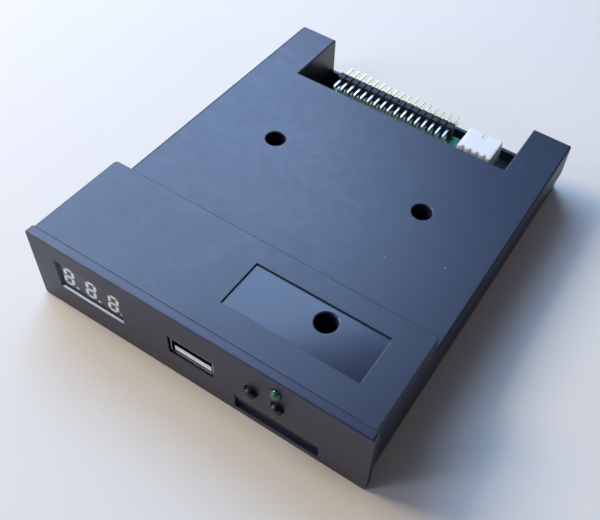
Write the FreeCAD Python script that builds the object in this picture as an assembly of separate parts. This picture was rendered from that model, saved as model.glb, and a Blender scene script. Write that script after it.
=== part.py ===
import FreeCAD, Part
import math
import os

# Floppy-bay drive housing with a USB socket and a digit display.
# Millimetres. Shapes are drawn with x across, y rearwards from the bezel's face and z up
# from the base; save() then moves them so that the origin is under the middle of the whole.

V = FreeCAD.Vector
X_AXIS = V(1, 0, 0)
Y_AXIS = V(0, 1, 0)
Z_AXIS = V(0, 0, 1)

# --- Housing: driving sizes ---------------------------------------------------------------
bezel_overhang = 0.7          # past the case at each side
bezel_height = 25.4
bezel_thickness = 2.4
bezel_corner_r = 0.8
bezel_edge_r = 0.35

clip_from_side = 10.1         # from the case's side to the clip's middle
clip_width = 8.0
clip_thickness = 1.2
clip_length = 8.0
clip_gap = 0.2
clip_bump = 0.7
clip_bump_length = 2.0
clip_bump_crest = 0.8         # flat top of the bump, before it slopes to the tip
clip_pocket_play = 0.2

scoop_left = 12.9
scoop_width = 24.5
scoop_floor = 2.1
scoop_height = 6.6
scoop_depth = 1.2

case_width = 100.2
case_depth = 122.0            # from the bezel's face to the back of the case
wall = 2.0
seam = 0.1                    # shadow gap between bezel, cover and tray
block_drop = 0.15             # the cover's front block stays this much under the bezel's top
block_depth = 29.0            # the raised front block, behind the seam
block_corner_r = 1.2
deck_step = 6.75              # the rear deck is this much lower than the block
edge_r = 0.4
corner_r = 0.8

tray_inset = 0.7              # the tray's sides stand in from the cover's
parting_height = 7.0
lip_height = 6.0              # the tray's rear wall across the notch
lip_thickness = 1.2
rim_height = 2.0
rim_wall = 1.2
rim_gap = 0.25
rim_start = 11.5              # behind the seam, so that the display board passes

notch_past_header = 8.51      # room beside the connectors for fingers and plugs
notch_past_power = 6.61
notch_depth = 22.4
notch_skirt = 1.4             # how far the notch's front wall hangs under the deck's plate
floor_gap = 0.4

label_left = 1.8
label_width = 39.0
label_start = 10.3
label_depth = 14.4            # front to back
label_sink = 0.5

rib_count = 3
rib_spacing = 15.0
rib_first = 43.0
rib_thickness = 1.2
rib_drop = 1.5

# --- Screws and posts ---------------------------------------------------------------------
well_play = 0.35              # round a cover screw's head
well_wall = 1.35
well_shelf = 2.0
well_rim = 0.25               # chamfer round the mouth
rear_well_x = 25.0
rear_well_to_rear = 52.0
front_well_x = 25.4
front_well_y = 20.0

screw_r = 1.5
screw_head_r = 2.6
screw_head_height = 2.0
screw_length = 8.0
screw_clearance = 0.2
thread_bite = 0.2             # how far a self-tapping thread cuts into its post
recess_width = 0.8
recess_depth = 1.0
recess_reach = 1.6            # from the middle to the end of one arm
head_round = 0.9
tip_share = 0.35              # of the shank's radius, left at the flat of the tip

post_r = 3.5
post_over_board = 1.8
post_clearance = 0.5
screw_end_room = 0.5          # below a screw's tip in its hole

board_post_r = 2.6
board_screw_r = 1.25
board_screw_head_r = 2.3
board_screw_head_height = 1.5
board_screw_length = 5.0

mount_hole_r = 1.25           # tapping size of M3
mount_hole_depth = 5.5
side_hole_height = 5.0
side_hole_first = 31.0
side_hole_spacing = 60.0
side_boss_width = 8.0
side_boss_over = 2.0
base_hole_inset = 5.1         # from the case's side
base_hole_span_y = 70.0
base_hole_first = 22.0
base_boss_r = 2.8
base_boss_roof = 1.2

# --- Main board ---------------------------------------------------------------------------
board_past_header = 2.3       # left of the header, or of the display's socket
board_past_power = 3.4
board_tail_length = 15.5      # the narrower rear end, which lies in the notch
board_tail_past_header = 0.3
board_tail_past_power = 0.7
board_to_rear = 8.5           # from the case's back
board_thickness = 1.6
board_under_usb = 0.4         # from the board's top to the USB shell
board_behind_bezel = 0.6
display_bay_play = 2.0        # the board is cut back round the display board
display_bay_depth = 16.0
board_screw_inset = 3.5
board_screw_front = 34.0
board_screw_to_rear = 19.5    # from the board's rear edge
pin_hole_play = 0.06

# --- Display ------------------------------------------------------------------------------
display_board_gap = 0.9       # from the case's inner side to the display's board
display_below_top = 11.4      # middle of the display and its window under the bezel's top
display_width = 22.5
display_height = 10.2
display_depth = 6.0
window_cover = 1.15           # how far the window's lip covers the display at each side
window_height = 10.1
window_bevel = 0.45           # above and below
window_side_bevel = 0.5
window_lip = 0.75
display_play = 0.15
pocket_wall = 1.2
pocket_depth = 2.0

digit_count = 3
digit_pitch = 7.35
digit_width = 3.6
digit_height = 7.2
digit_slant = 0.16
stroke = 1.05
stroke_gap = 0.12
segment_relief = 0.05
point_r = 0.5

display_board_edge = 1.7      # past the middle of a screw
display_board_height = 13.4
display_board_thickness = 1.2
display_screw_gap = 2.05      # from the display's side to the middle of a screw
display_boss_r = 1.7
display_screw_r = 0.9
display_screw_head_r = 1.6
display_screw_head_height = 1.1
display_screw_length = 4.0
display_pin_count = 6
display_pin_pitch = 2.54
display_pin_rows = 7.62
display_pin_r = 0.25
display_pin_out = 1.0

# --- USB socket ---------------------------------------------------------------------------
usb_below_top = 12.95         # middle of the socket under the bezel's top
usb_width = 13.1
usb_height = 5.7
usb_depth = 14.0
usb_metal = 0.3
usb_corner_r = 0.45
usb_setback = 0.5             # the mouth sits this far behind the bezel's face
usb_cut_play = 0.45           # beside and under the shell
usb_cut_over = 0.95           # above the shell
usb_cut_r = 0.6
tongue_side_gap = 0.7         # for the plug's metal
tongue_thickness = 1.84
tongue_gap = 0.45             # under the tongue, for the plug's metal
tongue_setback = 0.3
usb_block_depth = 3.9
contact_inner_x = 1.0
contact_outer_x = 3.5
contact_width = 1.0
contact_thickness = 0.2
contact_setback = 0.8
tail_below_board = 1.2
usb_tab_width = 2.0
usb_tab_back = 8.4            # from the mouth to the tab's middle
tail_width = 0.6

# --- Buttons, switches and status LED -----------------------------------------------------
button_below_led = 6.0
button_left_x = 18.1
button_right_x = 25.6
button_r = 1.7
button_play = 0.3
button_proud = 1.8
button_edge_r = 1.0
button_collar_r = 2.5
button_collar = 0.5
button_travel = 0.4
stop_gap = 0.1
plunger_r = 1.1
plunger_in_cap = 2.0
plunger_head_r = 1.7
plunger_head = 0.6
switch_size = 6.0
switch_depth = 3.4
switch_front_wall = 0.6
switch_play = 0.15
bracket_metal = 0.3
bracket_play = 0.05
bracket_foot = 1.5
bracket_foot_below = 0.8      # under the board

led_x = 25.3
led_below_top = 5.1
led_r = 1.5
led_proud = 1.4
led_play = 0.12
led_length = 5.2
led_flange_r = 1.9
led_flange = 1.0
led_leg_spacing = 2.54
led_leg_width = 0.5
led_leg_run = 4.5
led_leg_below = 0.8           # under the board
led_leg_play = 0.25

# --- Rear connectors ----------------------------------------------------------------------
pin_pitch = 2.54
pin_size = 0.64
header_columns = 17
header_rows = 2
header_x = -7.1
header_to_rear = 8.9          # from the case's back
header_thickness = 2.5
header_stand = 0.3
header_pin_out = 5.4
header_first_bend = 1.5
pin_below_board = 1.6
pin_hole_r = 0.5
header_groove = 0.5           # side of the square that cuts the V grooves
header_foot_width = 1.2
header_foot_overlap = 0.3

power_gap = 4.5               # from the header's end
power_pins_count = 4
power_pitch = 2.5
power_width = 11.6
power_length = 10.0
power_to_rear = 6.8
power_height = 5.2
power_wall = 0.9
power_block = 3.6
power_pin_inset = 1.2
power_pin_rise = 2.7
power_slot_width = 1.6
power_slot_length = 2.6
power_bend = 1.6
power_notch_width = 1.1
power_notch_depth = 0.9

# --- Chips and small parts on the main board ----------------------------------------------
chip_stand = 0.1
lead_metal = 0.15
lead_shoulder = 0.35
lead_foot = 0.5
dimple_r = 0.3                # pin-one mark
dimple_inset = 1.0
dimple_depth = 0.1

micro_x = 2.0
micro_y = 56.0
micro_size = 10.0
micro_height = 1.4
micro_pitch = 0.5
micro_per_side = 16
micro_lead_width = 0.22

driver_length = 8.7
driver_width = 3.9
driver_height = 1.5
driver_pitch = 1.27
driver_per_side = 7
driver_lead_width = 0.42
driver_left_x = -14.0
driver_spacing = 15.0
driver_to_rear = 21.5         # from the board's rear edge
driver_count = 2

regulator_x = 24.5
regulator_to_rear = 21.5
regulator_length = 6.5
regulator_width = 3.5
regulator_height = 1.6
regulator_pitch = 2.3
regulator_lead_width = 0.7

crystal_x = -14.0
crystal_y = 56.0
crystal_length = 11.0
crystal_width = 4.6
crystal_height = 3.5
crystal_rim = 0.4
crystal_rim_height = 0.5
crystal_end_flat = 0.1        # left between the round ends' corners

can_r = 3.15
can_height = 4.6
can_base = 6.6
can_base_height = 0.8
can_chamfer = 1.3
front_can_x = -4.0
front_can_y = 30.0
rear_can_x = 12.0
rear_can_to_rear = 35.5

chip_part_length = 2.0
chip_part_width = 1.25
chip_part_height = 0.6
resistor_row_to_rear = 13.5
resistor_row_x = -22.0
resistor_pitch = 3.2
resistor_count = 9
ceramic_row_x = -10.0
ceramic_row_y = 43.0
ceramic_pitch = 4.0
ceramic_count = 7

select_x = -24.0
select_to_rear = 29.5
select_count = 3
select_body_height = 2.5
select_pin_height = 5.4
select_jumper_height = 3.0
select_jumper_play = 0.1
select_pin_below = 0.8        # under the board

socket_from_display = 10.0
socket_y = 24.0
socket_count = 4
socket_pitch = 2.0
socket_depth = 4.6
socket_height = 4.4
socket_wall = 0.7
socket_floor = 1.0
plug_play = 0.1
plug_height = 5.2
wire_r = 0.45
wire_entry_rise = 5.4         # above the display's middle, where the wires meet its board
wire_bend_r = 1.5

# --- Derived places -----------------------------------------------------------------------
front = bezel_thickness + seam
bezel_width = case_width + 2 * bezel_overhang
cover_half = case_width / 2
tray_half = cover_half - tray_inset
clip_x = cover_half - clip_from_side
block_top = bezel_height - block_drop
block_rear = front + block_depth
deck_height = block_top - deck_step
cover_base = parting_height + seam

display_z = bezel_height - display_below_top
display_screw_spacing = display_width + 2 * display_screw_gap
display_board_width = display_screw_spacing + 2 * display_board_edge
display_x = wall + display_board_gap + display_board_width / 2 - cover_half
display_face = window_lip
display_rear = display_face + display_depth
display_board_rear = display_rear + display_board_thickness
window_width = display_width - 2 * window_cover
wire_entry_z = display_z + wire_entry_rise

usb_z = bezel_height - usb_below_top
usb_bottom = usb_z - usb_height / 2
usb_rear = usb_setback + usb_depth
usb_cut_width = usb_width + 2 * usb_cut_play
usb_cut_bottom = usb_bottom - usb_cut_play
usb_cut_top = usb_bottom + usb_height + usb_cut_over
usb_tab_y = usb_setback + usb_tab_back
tongue_width = usb_width - 2 * usb_metal - 2 * tongue_side_gap
contact_xs = [-contact_outer_x, -contact_inner_x, contact_inner_x, contact_outer_x]
contact_tail_y = usb_rear - usb_metal - usb_block_depth / 2

led_z = bezel_height - led_below_top
button_z = led_z - button_below_led
button_xs = {"left": button_left_x, "right": button_right_x}
collar_front = bezel_thickness + stop_gap
collar_rear = collar_front + button_collar
bracket_front = collar_rear + button_travel + stop_gap
switch_front = bracket_front + bracket_metal
switch_rear = switch_front + switch_depth

header_width = header_columns * pin_pitch
header_left = header_x - header_width / 2
header_right = header_x + header_width / 2
header_rear = case_depth - header_to_rear
header_front = header_rear - header_thickness
power_x = header_right + power_gap + power_width / 2
power_right = power_x + power_width / 2
power_rear = case_depth - power_to_rear
power_front = power_rear - power_length
notch_left = header_left - notch_past_header
notch_right = power_right + notch_past_power
notch_front = case_depth - notch_depth

socket_x = display_x + socket_from_display
socket_width = socket_count * socket_pitch + 2 * socket_wall
board_left = min(header_left, socket_x - socket_width / 2) - board_past_header
board_right = power_right + board_past_power
board_front = bezel_thickness + board_behind_bezel
board_rear = case_depth - board_to_rear
board_top = usb_bottom - board_under_usb
board_bottom = board_top - board_thickness
display_bay_right = display_x + display_board_width / 2 + display_bay_play
board_tail_front = board_rear - board_tail_length
board_screw_rear = board_rear - board_screw_to_rear
board_screws = [
    (x, y)
    for x in (board_left + board_screw_inset, board_right - board_screw_inset)
    for y in (board_screw_front, board_screw_rear)
]
select_y = board_rear - select_to_rear
can_spots = [(front_can_x, front_can_y), (rear_can_x, board_rear - rear_can_to_rear)]

post_top = board_top + post_over_board
well_r = screw_head_r + well_play
well_floor = post_top + well_shelf
well_tube_r = well_r + well_wall
rear_well_y = case_depth - rear_well_to_rear
label_floor = block_top - label_sink
wells = [
    (-rear_well_x, rear_well_y, deck_height),
    (rear_well_x, rear_well_y, deck_height),
    (front_well_x, front_well_y, label_floor),
]
overall_depth = case_depth + button_proud


# --- Small helpers ------------------------------------------------------------------------
def box(x0, x1, y0, y1, z0, z1):
    return Part.makeBox(x1 - x0, y1 - y0, z1 - z0, V(x0, y0, z0))


def centred_box(x, width, y0, y1, z0, z1):
    return box(x - width / 2, x + width / 2, y0, y1, z0, z1)


def rod_z(x, y, z0, z1, r):
    return Part.makeCylinder(r, z1 - z0, V(x, y, z0), Z_AXIS)


def rod_y(x, z, y0, y1, r):
    return Part.makeCylinder(r, y1 - y0, V(x, y0, z), Y_AXIS)


def rod_x(y, z, x0, x1, r):
    return Part.makeCylinder(r, x1 - x0, V(x0, y, z), X_AXIS)


def join(shapes):
    first, *rest = shapes
    return first.fuse(rest).removeSplitter() if rest else first


def group(shapes):
    return Part.makeCompound(shapes)


def near(value, target):
    return abs(value - target) < 1e-4


def round_edges(shape, radius, wanted):
    """Fillet the edges whose bounding box passes the test."""
    edges = [edge for edge in shape.Edges if wanted(edge.BoundBox)]
    return shape.makeFillet(radius, edges)


def upright(bounds):
    return near(bounds.XMin, bounds.XMax) and near(bounds.YMin, bounds.YMax)


def along_y(bounds):
    return near(bounds.XMin, bounds.XMax) and near(bounds.ZMin, bounds.ZMax)


def prism_y(points, y0, y1):
    """A plate with the given outline of (x, z) points, from y0 to y1."""
    ring = [V(x, y0, z) for x, z in points]
    return Part.Face(Part.makePolygon(ring + ring[:1])).extrude(V(0, y1 - y0, 0))


def prism_x(points, x0, x1):
    """A bar with the given outline of (y, z) points, from x0 to x1."""
    ring = [V(x0, y, z) for y, z in points]
    return Part.Face(Part.makePolygon(ring + ring[:1])).extrude(V(x1 - x0, 0, 0))


def save(name, shape):
    placed = shape.copy()
    placed.translate(V(0, button_proud - overall_depth / 2, 0))
    placed.exportStep("parts/" + name + ".step")


# --- Housing ------------------------------------------------------------------------------
def cover_outside():
    def top_rim(top):
        return lambda b: near(b.ZMin, top) and not near(b.YMax, front)

    block = box(-cover_half, cover_half, front, block_rear, cover_base, block_top)
    block = round_edges(block, block_corner_r, lambda b: upright(b) and near(b.YMin, block_rear))
    block = round_edges(block, edge_r, top_rim(block_top))
    deck = box(-cover_half, cover_half, front, case_depth, cover_base, deck_height)
    deck = round_edges(deck, corner_r, lambda b: upright(b) and near(b.YMin, case_depth))
    notch = box(notch_left, notch_right, notch_front, case_depth + 1, cover_base - 1, deck_height + 1)
    deck = round_edges(deck.cut(notch), edge_r, top_rim(deck_height))
    return join([block, deck])


def cover_cavity():
    inner = cover_half - wall
    block = box(-inner, inner, front - 1, block_rear - wall, cover_base - 1, block_top - wall)
    deck = box(-inner, inner, front - 1, case_depth - wall, cover_base - 1, deck_height - wall)
    around_notch = box(notch_left - wall, notch_right + wall, notch_front - wall, case_depth + 1,
                       cover_base - 2, deck_height + 1)
    skirt_z = deck_height - wall - notch_skirt
    board_way = box(notch_left, notch_right, notch_front - wall - 1, notch_front + 1,
                    cover_base - 2, skirt_z)
    return join([block, deck]).cut(around_notch).fuse(board_way)


def cover_additions():
    pieces = []
    for x, y, top in wells:
        pieces.append(rod_z(x, y, post_top, top - wall / 2, well_tube_r))
    for x0 in (notch_left - wall, notch_right):
        pieces.append(box(x0, x0 + wall, notch_front - wall, case_depth - wall - floor_gap,
                          wall + floor_gap, cover_base + wall))
    for i in range(rib_count):
        y = rib_first + i * rib_spacing
        pieces.append(box(-cover_half + wall / 2, cover_half - wall / 2, y, y + rib_thickness,
                          deck_height - wall - rib_drop, deck_height - wall / 2))
    return pieces


def clip_pockets(face_z, direction):
    """Pockets in a wall's inner face that the bezel's clips snap into."""
    depth = direction * (clip_bump + clip_pocket_play - clip_gap)
    y1 = bezel_thickness + clip_length + clip_pocket_play
    y0 = y1 - clip_bump_length - 2 * clip_pocket_play
    z0 = min(face_z - direction, face_z + depth)
    z1 = max(face_z - direction, face_z + depth)
    half = clip_width / 2 + clip_pocket_play
    return [box(s * clip_x - half, s * clip_x + half, y0, y1, z0, z1) for s in (-1, 1)]


def top_cover():
    cover = cover_outside().cut(cover_cavity())
    cover = join([cover] + cover_additions())
    cuts = []
    for x, y, top in wells:
        cuts.append(rod_z(x, y, well_floor, top + 1, well_r))
        cuts.append(Part.makeCone(well_r, well_r + well_rim + 1, well_rim + 1,
                                  V(x, y, top - well_rim), Z_AXIS))
        cuts.append(rod_z(x, y, post_top - 1, well_floor + 1, screw_r + screw_clearance))
    cuts.append(box(label_left, label_left + label_width, label_start, label_start + label_depth,
                    label_floor, block_top + 1))
    cuts += clip_pockets(block_top - wall, 1)
    return cover.cut(cuts)


def tray_shell():
    outside = box(-tray_half, tray_half, front, case_depth, 0, parting_height)
    outside = round_edges(outside, corner_r, lambda b: upright(b) and near(b.YMin, case_depth))
    outside = round_edges(outside, edge_r, lambda b: near(b.ZMax, 0) and not near(b.YMax, front))
    inside = box(-tray_half + wall, tray_half - wall, front - 1, case_depth - wall, wall,
                 parting_height + 1)
    gap = box(notch_left, notch_right, case_depth - wall - 1, case_depth + 1, lip_height,
              parting_height + 1)
    thinned = box(notch_left, notch_right, case_depth - wall - 1, case_depth - lip_thickness, wall,
                  parting_height + 1)
    return outside.cut([inside, gap, thinned])


def tray_rim():
    """Tongue that stands up inside the cover's side walls."""
    outer = cover_half - wall - rim_gap
    top = cover_base + rim_height
    y0 = front + rim_start
    y1 = case_depth - wall - rim_gap
    rims = []
    for side in (-1, 1):
        a = side * outer
        b = side * (outer - rim_wall)
        rims.append(box(min(a, b), max(a, b), y0, y1, parting_height - wall, top))
    return rims


def side_bosses():
    bosses = []
    depth = mount_hole_depth + base_boss_roof
    for side in (-1, 1):
        a = side * (cover_half - wall - rim_gap)
        b = side * (tray_half - depth)
        for i in range(2):
            y = side_hole_first + i * side_hole_spacing
            bosses.append(box(min(a, b), max(a, b), y - side_boss_width / 2, y + side_boss_width / 2,
                              wall / 2, side_hole_height + mount_hole_r + side_boss_over))
    return bosses


def base_hole_places():
    return [
        (sx * (cover_half - base_hole_inset), base_hole_first + iy * base_hole_span_y)
        for sx in (-1, 1)
        for iy in range(2)
    ]


def bottom_tray():
    pieces = [tray_shell()] + tray_rim() + side_bosses()
    for x, y in base_hole_places():
        pieces.append(rod_z(x, y, wall / 2, mount_hole_depth + base_boss_roof, base_boss_r))
    for x, y, _top in wells:
        pieces.append(rod_z(x, y, wall / 2, post_top, post_r))
    for x, y in board_screws:
        pieces.append(rod_z(x, y, wall / 2, board_bottom, board_post_r))
    tray = join(pieces)
    cuts = []
    for x, y in base_hole_places():
        cuts.append(rod_z(x, y, -1, mount_hole_depth, mount_hole_r))
    for i in range(2):
        y = side_hole_first + i * side_hole_spacing
        cuts.append(rod_x(y, side_hole_height, tray_half - mount_hole_depth, tray_half + 1,
                          mount_hole_r))
        cuts.append(rod_x(y, side_hole_height, -tray_half - 1, -tray_half + mount_hole_depth,
                          mount_hole_r))
    for x, y, _top in wells:
        cuts.append(rod_z(x, y, well_floor - screw_length - screw_end_room, post_top + 1,
                          screw_r - thread_bite))
    for x, y in board_screws:
        cuts.append(rod_z(x, y, board_top - board_screw_length - screw_end_room, board_bottom + 1,
                          board_screw_r - thread_bite))
    cuts += clip_pockets(wall, -1)
    return tray.cut(cuts)


# --- Bezel --------------------------------------------------------------------------------
def window_cut():
    """Bevelled window through the thin lip in front of the display's face."""
    w = window_width / 2
    h = window_height / 2
    inner = [(-w, -h), (w, -h), (w, h), (-w, h)]
    ow = w + window_side_bevel
    oh = h + window_bevel
    outer = [(-ow, -oh), (ow, -oh), (ow, oh), (-ow, oh)]
    wires = []
    for y, ring in ((0, outer), (window_lip, inner)):
        points = [V(display_x + px, y, display_z + pz) for px, pz in ring]
        wires.append(Part.makePolygon(points + points[:1]))
    return Part.makeLoft(wires, True, True)


def display_pocket():
    w = display_width / 2 + display_play
    h = display_height / 2 + display_play
    return box(display_x - w, display_x + w, window_lip, bezel_thickness + pocket_depth + 1,
               display_z - h, display_z + h)


def pocket_frame():
    w = display_width / 2 + display_play + pocket_wall
    h = display_height / 2 + display_play + pocket_wall
    return box(display_x - w, display_x + w, bezel_thickness / 2, bezel_thickness + pocket_depth,
               display_z - h, display_z + h)


def display_boss_xs():
    return [display_x + s * display_screw_spacing / 2 for s in (-1, 1)]


def bezel_clips():
    """Two snap clips at the top and two at the bottom, each with a wedge-shaped bump."""
    clips = []
    end = bezel_thickness + clip_length
    roof = block_top - wall - clip_gap
    ground = wall + clip_gap
    for side in (-1, 1):
        x0 = side * clip_x - clip_width / 2
        x1 = x0 + clip_width
        for edge, sign in ((roof, 1), (ground, -1)):
            z0 = min(edge, edge - sign * clip_thickness)
            clips.append(box(x0, x1, bezel_thickness / 2, end, z0, z0 + clip_thickness))
            bump = [
                (end - clip_bump_length, edge - sign * clip_thickness / 2),
                (end - clip_bump_length, edge + sign * clip_bump),
                (end - clip_bump_length + clip_bump_crest, edge + sign * clip_bump),
                (end, edge),
                (end, edge - sign * clip_thickness / 2),
            ]
            clips.append(prism_x(bump, x0, x1))
    return clips


def scoop_cut():
    """Finger scoop: deepest on its ledge, running out at the top."""
    top = scoop_floor + scoop_height
    outline = [(-1, scoop_floor), (scoop_depth, scoop_floor), (0, top), (-1, top)]
    return prism_x(outline, scoop_left, scoop_left + scoop_width)


def usb_cut():
    hole = box(-usb_cut_width / 2, usb_cut_width / 2, -1, bezel_thickness + 1, usb_cut_bottom,
               usb_cut_top)
    return round_edges(hole, usb_cut_r, lambda b: near(b.XMin, b.XMax) and near(b.ZMin, b.ZMax))


def front_bezel():
    plate = box(-bezel_width / 2, bezel_width / 2, 0, bezel_thickness, 0, bezel_height)
    plate = round_edges(plate, bezel_corner_r, along_y)
    plate = round_edges(plate, bezel_edge_r, lambda b: near(b.YMin, 0) and near(b.YMax, 0))
    pieces = [plate, pocket_frame()] + bezel_clips()
    for x in display_boss_xs():
        pieces.append(rod_y(x, display_z, bezel_thickness / 2, display_rear, display_boss_r))
    bezel = join(pieces)
    cuts = [window_cut(), display_pocket(), usb_cut(), scoop_cut()]
    for x in button_xs.values():
        cuts.append(rod_y(x, button_z, -1, bezel_thickness + 1, button_r + button_play))
    cuts.append(rod_y(led_x, led_z, -1, bezel_thickness + 1, led_r + led_play))
    depth = display_screw_length - display_board_thickness + screw_end_room
    for x in display_boss_xs():
        cuts.append(rod_y(x, display_z, display_rear - depth, display_rear + 1,
                          display_screw_r - thread_bite))
    return bezel.cut(cuts)


# --- Screws -------------------------------------------------------------------------------
def pan_screw(r, length, head_r, head_height):
    """Pan-head screw along z, with the head's seat at z = 0 and a cross recess.

    Small screws have the cover screws' head at their own scale.
    """
    wide = head_r / screw_head_r
    tall = head_height / screw_head_height
    head = Part.makeCylinder(head_r, head_height)
    head = round_edges(head, head_round * tall, lambda b: near(b.ZMin, head_height))
    shank = Part.makeCylinder(r, length - r, V(0, 0, r - length))
    tip = Part.makeCone(r * tip_share, r, r, V(0, 0, -length))
    arm = recess_reach * wide
    half = recess_width / 2 * wide
    floor = head_height - recess_depth * tall
    cross = [
        box(-arm, arm, -half, half, floor, head_height + 1),
        box(-half, half, -arm, arm, floor, head_height + 1),
    ]
    return join([head, shank, tip]).cut(cross)


def cover_screws():
    screws = []
    for x, y, _top in wells:
        screw = pan_screw(screw_r, screw_length, screw_head_r, screw_head_height)
        screw.translate(V(x, y, well_floor))
        screws.append(screw)
    return group(screws)


def board_screw_set():
    screws = []
    for x, y in board_screws:
        screw = pan_screw(board_screw_r, board_screw_length, board_screw_head_r,
                          board_screw_head_height)
        screw.translate(V(x, y, board_top))
        screws.append(screw)
    return group(screws)


def display_screws():
    screws = []
    for x in display_boss_xs():
        screw = pan_screw(display_screw_r, display_screw_length, display_screw_head_r,
                          display_screw_head_height)
        screw.rotate(V(0, 0, 0), X_AXIS, -90)
        screw.translate(V(x, display_board_rear, display_z))
        screws.append(screw)
    return group(screws)


# --- Display ------------------------------------------------------------------------------
def digit_centres():
    first = display_x - digit_pitch * (digit_count - 1) / 2
    return [first + i * digit_pitch for i in range(digit_count)]


def bar(x0, z0, x1, z1, half):
    """Hexagonal stroke of a digit from one end to the other, as (x, z) points."""
    length = math.hypot(x1 - x0, z1 - z0)
    ux = (x1 - x0) / length
    uz = (z1 - z0) / length
    nx = -uz * half
    nz = ux * half
    ax = x0 + ux * half
    az = z0 + uz * half
    bx = x1 - ux * half
    bz = z1 - uz * half
    return [(x0, z0), (ax + nx, az + nz), (bx + nx, bz + nz), (x1, z1), (bx - nx, bz - nz),
            (ax - nx, az - nz)]


def digit_outlines():
    """The seven strokes of one digit about its own middle, before the slant."""
    w = (digit_width - stroke) / 2
    h = (digit_height - stroke) / 2
    g = stroke_gap
    half = stroke / 2
    strokes = []
    for z in (-h, 0, h):
        strokes.append(bar(-w + g, z, w - g, z, half))
    for x in (-w, w):
        for z0, z1 in ((-h, 0), (0, h)):
            strokes.append(bar(x, z0 + g, x, z1 - g, half))
    return strokes


def display_segments():
    y1 = display_face + segment_relief
    pieces = []
    for x in digit_centres():
        for outline in digit_outlines():
            slanted = [(x + px + pz * digit_slant, display_z + pz) for px, pz in outline]
            pieces.append(prism_y(slanted, display_face, y1))
        point_x = x + digit_width / 2 + 2 * point_r - digit_slant * digit_height / 2
        point_z = display_z - digit_height / 2 + point_r
        pieces.append(rod_y(point_x, point_z, display_face, y1, point_r))
    return group(pieces)


def display_body():
    body = centred_box(display_x, display_width, display_face, display_rear,
                       display_z - display_height / 2, display_z + display_height / 2)
    return body.cut(display_segments())


def display_pin_places():
    half = (display_pin_count - 1) / 2
    return [
        (display_x + (i - half) * display_pin_pitch, display_z + s * display_pin_rows / 2)
        for i in range(display_pin_count)
        for s in (-1, 1)
    ]


def display_pins():
    end = display_board_rear + display_pin_out
    return group([rod_y(x, z, display_rear, end, display_pin_r) for x, z in display_pin_places()])


def display_board():
    half = display_board_height / 2
    board = centred_box(display_x, display_board_width, display_rear, display_board_rear,
                        display_z - half, display_z + half)
    cuts = []
    for x, z in display_pin_places():
        cuts.append(rod_y(x, z, display_rear - 1, display_board_rear + 1,
                          display_pin_r + pin_hole_play))
    for x in display_boss_xs():
        cuts.append(rod_y(x, display_z, display_rear - 1, display_board_rear + 1,
                          display_screw_r + screw_clearance))
    return board.cut(cuts)


# --- Chips: drawn flat on z = 0 about the origin, then placed -----------------------------
def chip_body(length, width, height):
    body = box(-length / 2, length / 2, -width / 2, width / 2, chip_stand, height)
    dimple = rod_z(-length / 2 + dimple_inset, -width / 2 + dimple_inset, height - dimple_depth,
                   height + 1, dimple_r)
    return body.cut(dimple)


def gull_lead(start, height, width):
    """One bent lead along +y from a body's side at y = start."""
    t = lead_metal
    mid = height / 2
    knee = start + lead_shoulder
    outline = [
        (start, mid), (knee - t, mid), (knee - t, 0), (knee - t + lead_foot, 0),
        (knee - t + lead_foot, t), (knee, t), (knee, mid + t), (start, mid + t),
    ]
    return prism_x(outline, -width / 2, width / 2)


def lead_row(count, pitch, start, height, width, turn):
    leads = []
    for i in range(count):
        lead = gull_lead(start, height, width)
        lead.translate(V((i - (count - 1) / 2) * pitch, 0, 0))
        lead.rotate(V(0, 0, 0), Z_AXIS, turn)
        leads.append(lead)
    return leads


def on_board(shape, x, y):
    placed = shape.copy()
    placed.translate(V(x, y, board_top))
    return placed


def microcontroller():
    return on_board(chip_body(micro_size, micro_size, micro_height), micro_x, micro_y)


def microcontroller_leads():
    leads = []
    for turn in (0, 90, 180, 270):
        leads += lead_row(micro_per_side, micro_pitch, micro_size / 2, micro_height,
                          micro_lead_width, turn)
    return on_board(group(leads), micro_x, micro_y)


def driver_xs():
    return [driver_left_x + i * driver_spacing for i in range(driver_count)]


def line_drivers():
    body = chip_body(driver_length, driver_width, driver_height)
    return group([on_board(body, x, board_rear - driver_to_rear) for x in driver_xs()])


def driver_lead_set():
    leads = []
    for turn in (0, 180):
        leads += lead_row(driver_per_side, driver_pitch, driver_width / 2, driver_height,
                          driver_lead_width, turn)
    return group(leads)


def line_driver_leads():
    leads = driver_lead_set()
    return group([on_board(leads, x, board_rear - driver_to_rear) for x in driver_xs()])


def regulator():
    return on_board(chip_body(regulator_length, regulator_width, regulator_height),
                    regulator_x, board_rear - regulator_to_rear)


def regulator_leads():
    leads = lead_row(3, regulator_pitch, regulator_width / 2, regulator_height,
                     regulator_lead_width, 180)
    leads += lead_row(1, regulator_pitch, regulator_width / 2, regulator_height,
                      regulator_pitch + regulator_lead_width, 0)
    return on_board(group(leads), regulator_x, board_rear - regulator_to_rear)


def display_driver():
    """Narrow chip on the display board's rear face, between the two rows of pins."""
    body = chip_body(driver_length, driver_width, driver_height)
    body.rotate(V(0, 0, 0), X_AXIS, -90)
    body.translate(V(display_x, display_board_rear, display_z))
    return body


def display_driver_leads():
    leads = driver_lead_set()
    leads.rotate(V(0, 0, 0), X_AXIS, -90)
    leads.translate(V(display_x, display_board_rear, display_z))
    return leads


# --- Small parts on the main board --------------------------------------------------------
def crystal():
    def rounded(length, width, z0, z1):
        shape = box(-length / 2, length / 2, -width / 2, width / 2, z0, z1)
        return round_edges(shape, (width - crystal_end_flat) / 2, upright)

    rim = rounded(crystal_length, crystal_width, 0, crystal_rim_height)
    can = rounded(crystal_length - 2 * crystal_rim, crystal_width - 2 * crystal_rim,
                  0, crystal_height)
    can = round_edges(can, crystal_rim, lambda b: near(b.ZMin, crystal_height))
    return on_board(join([rim, can]), crystal_x, crystal_y)


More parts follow.
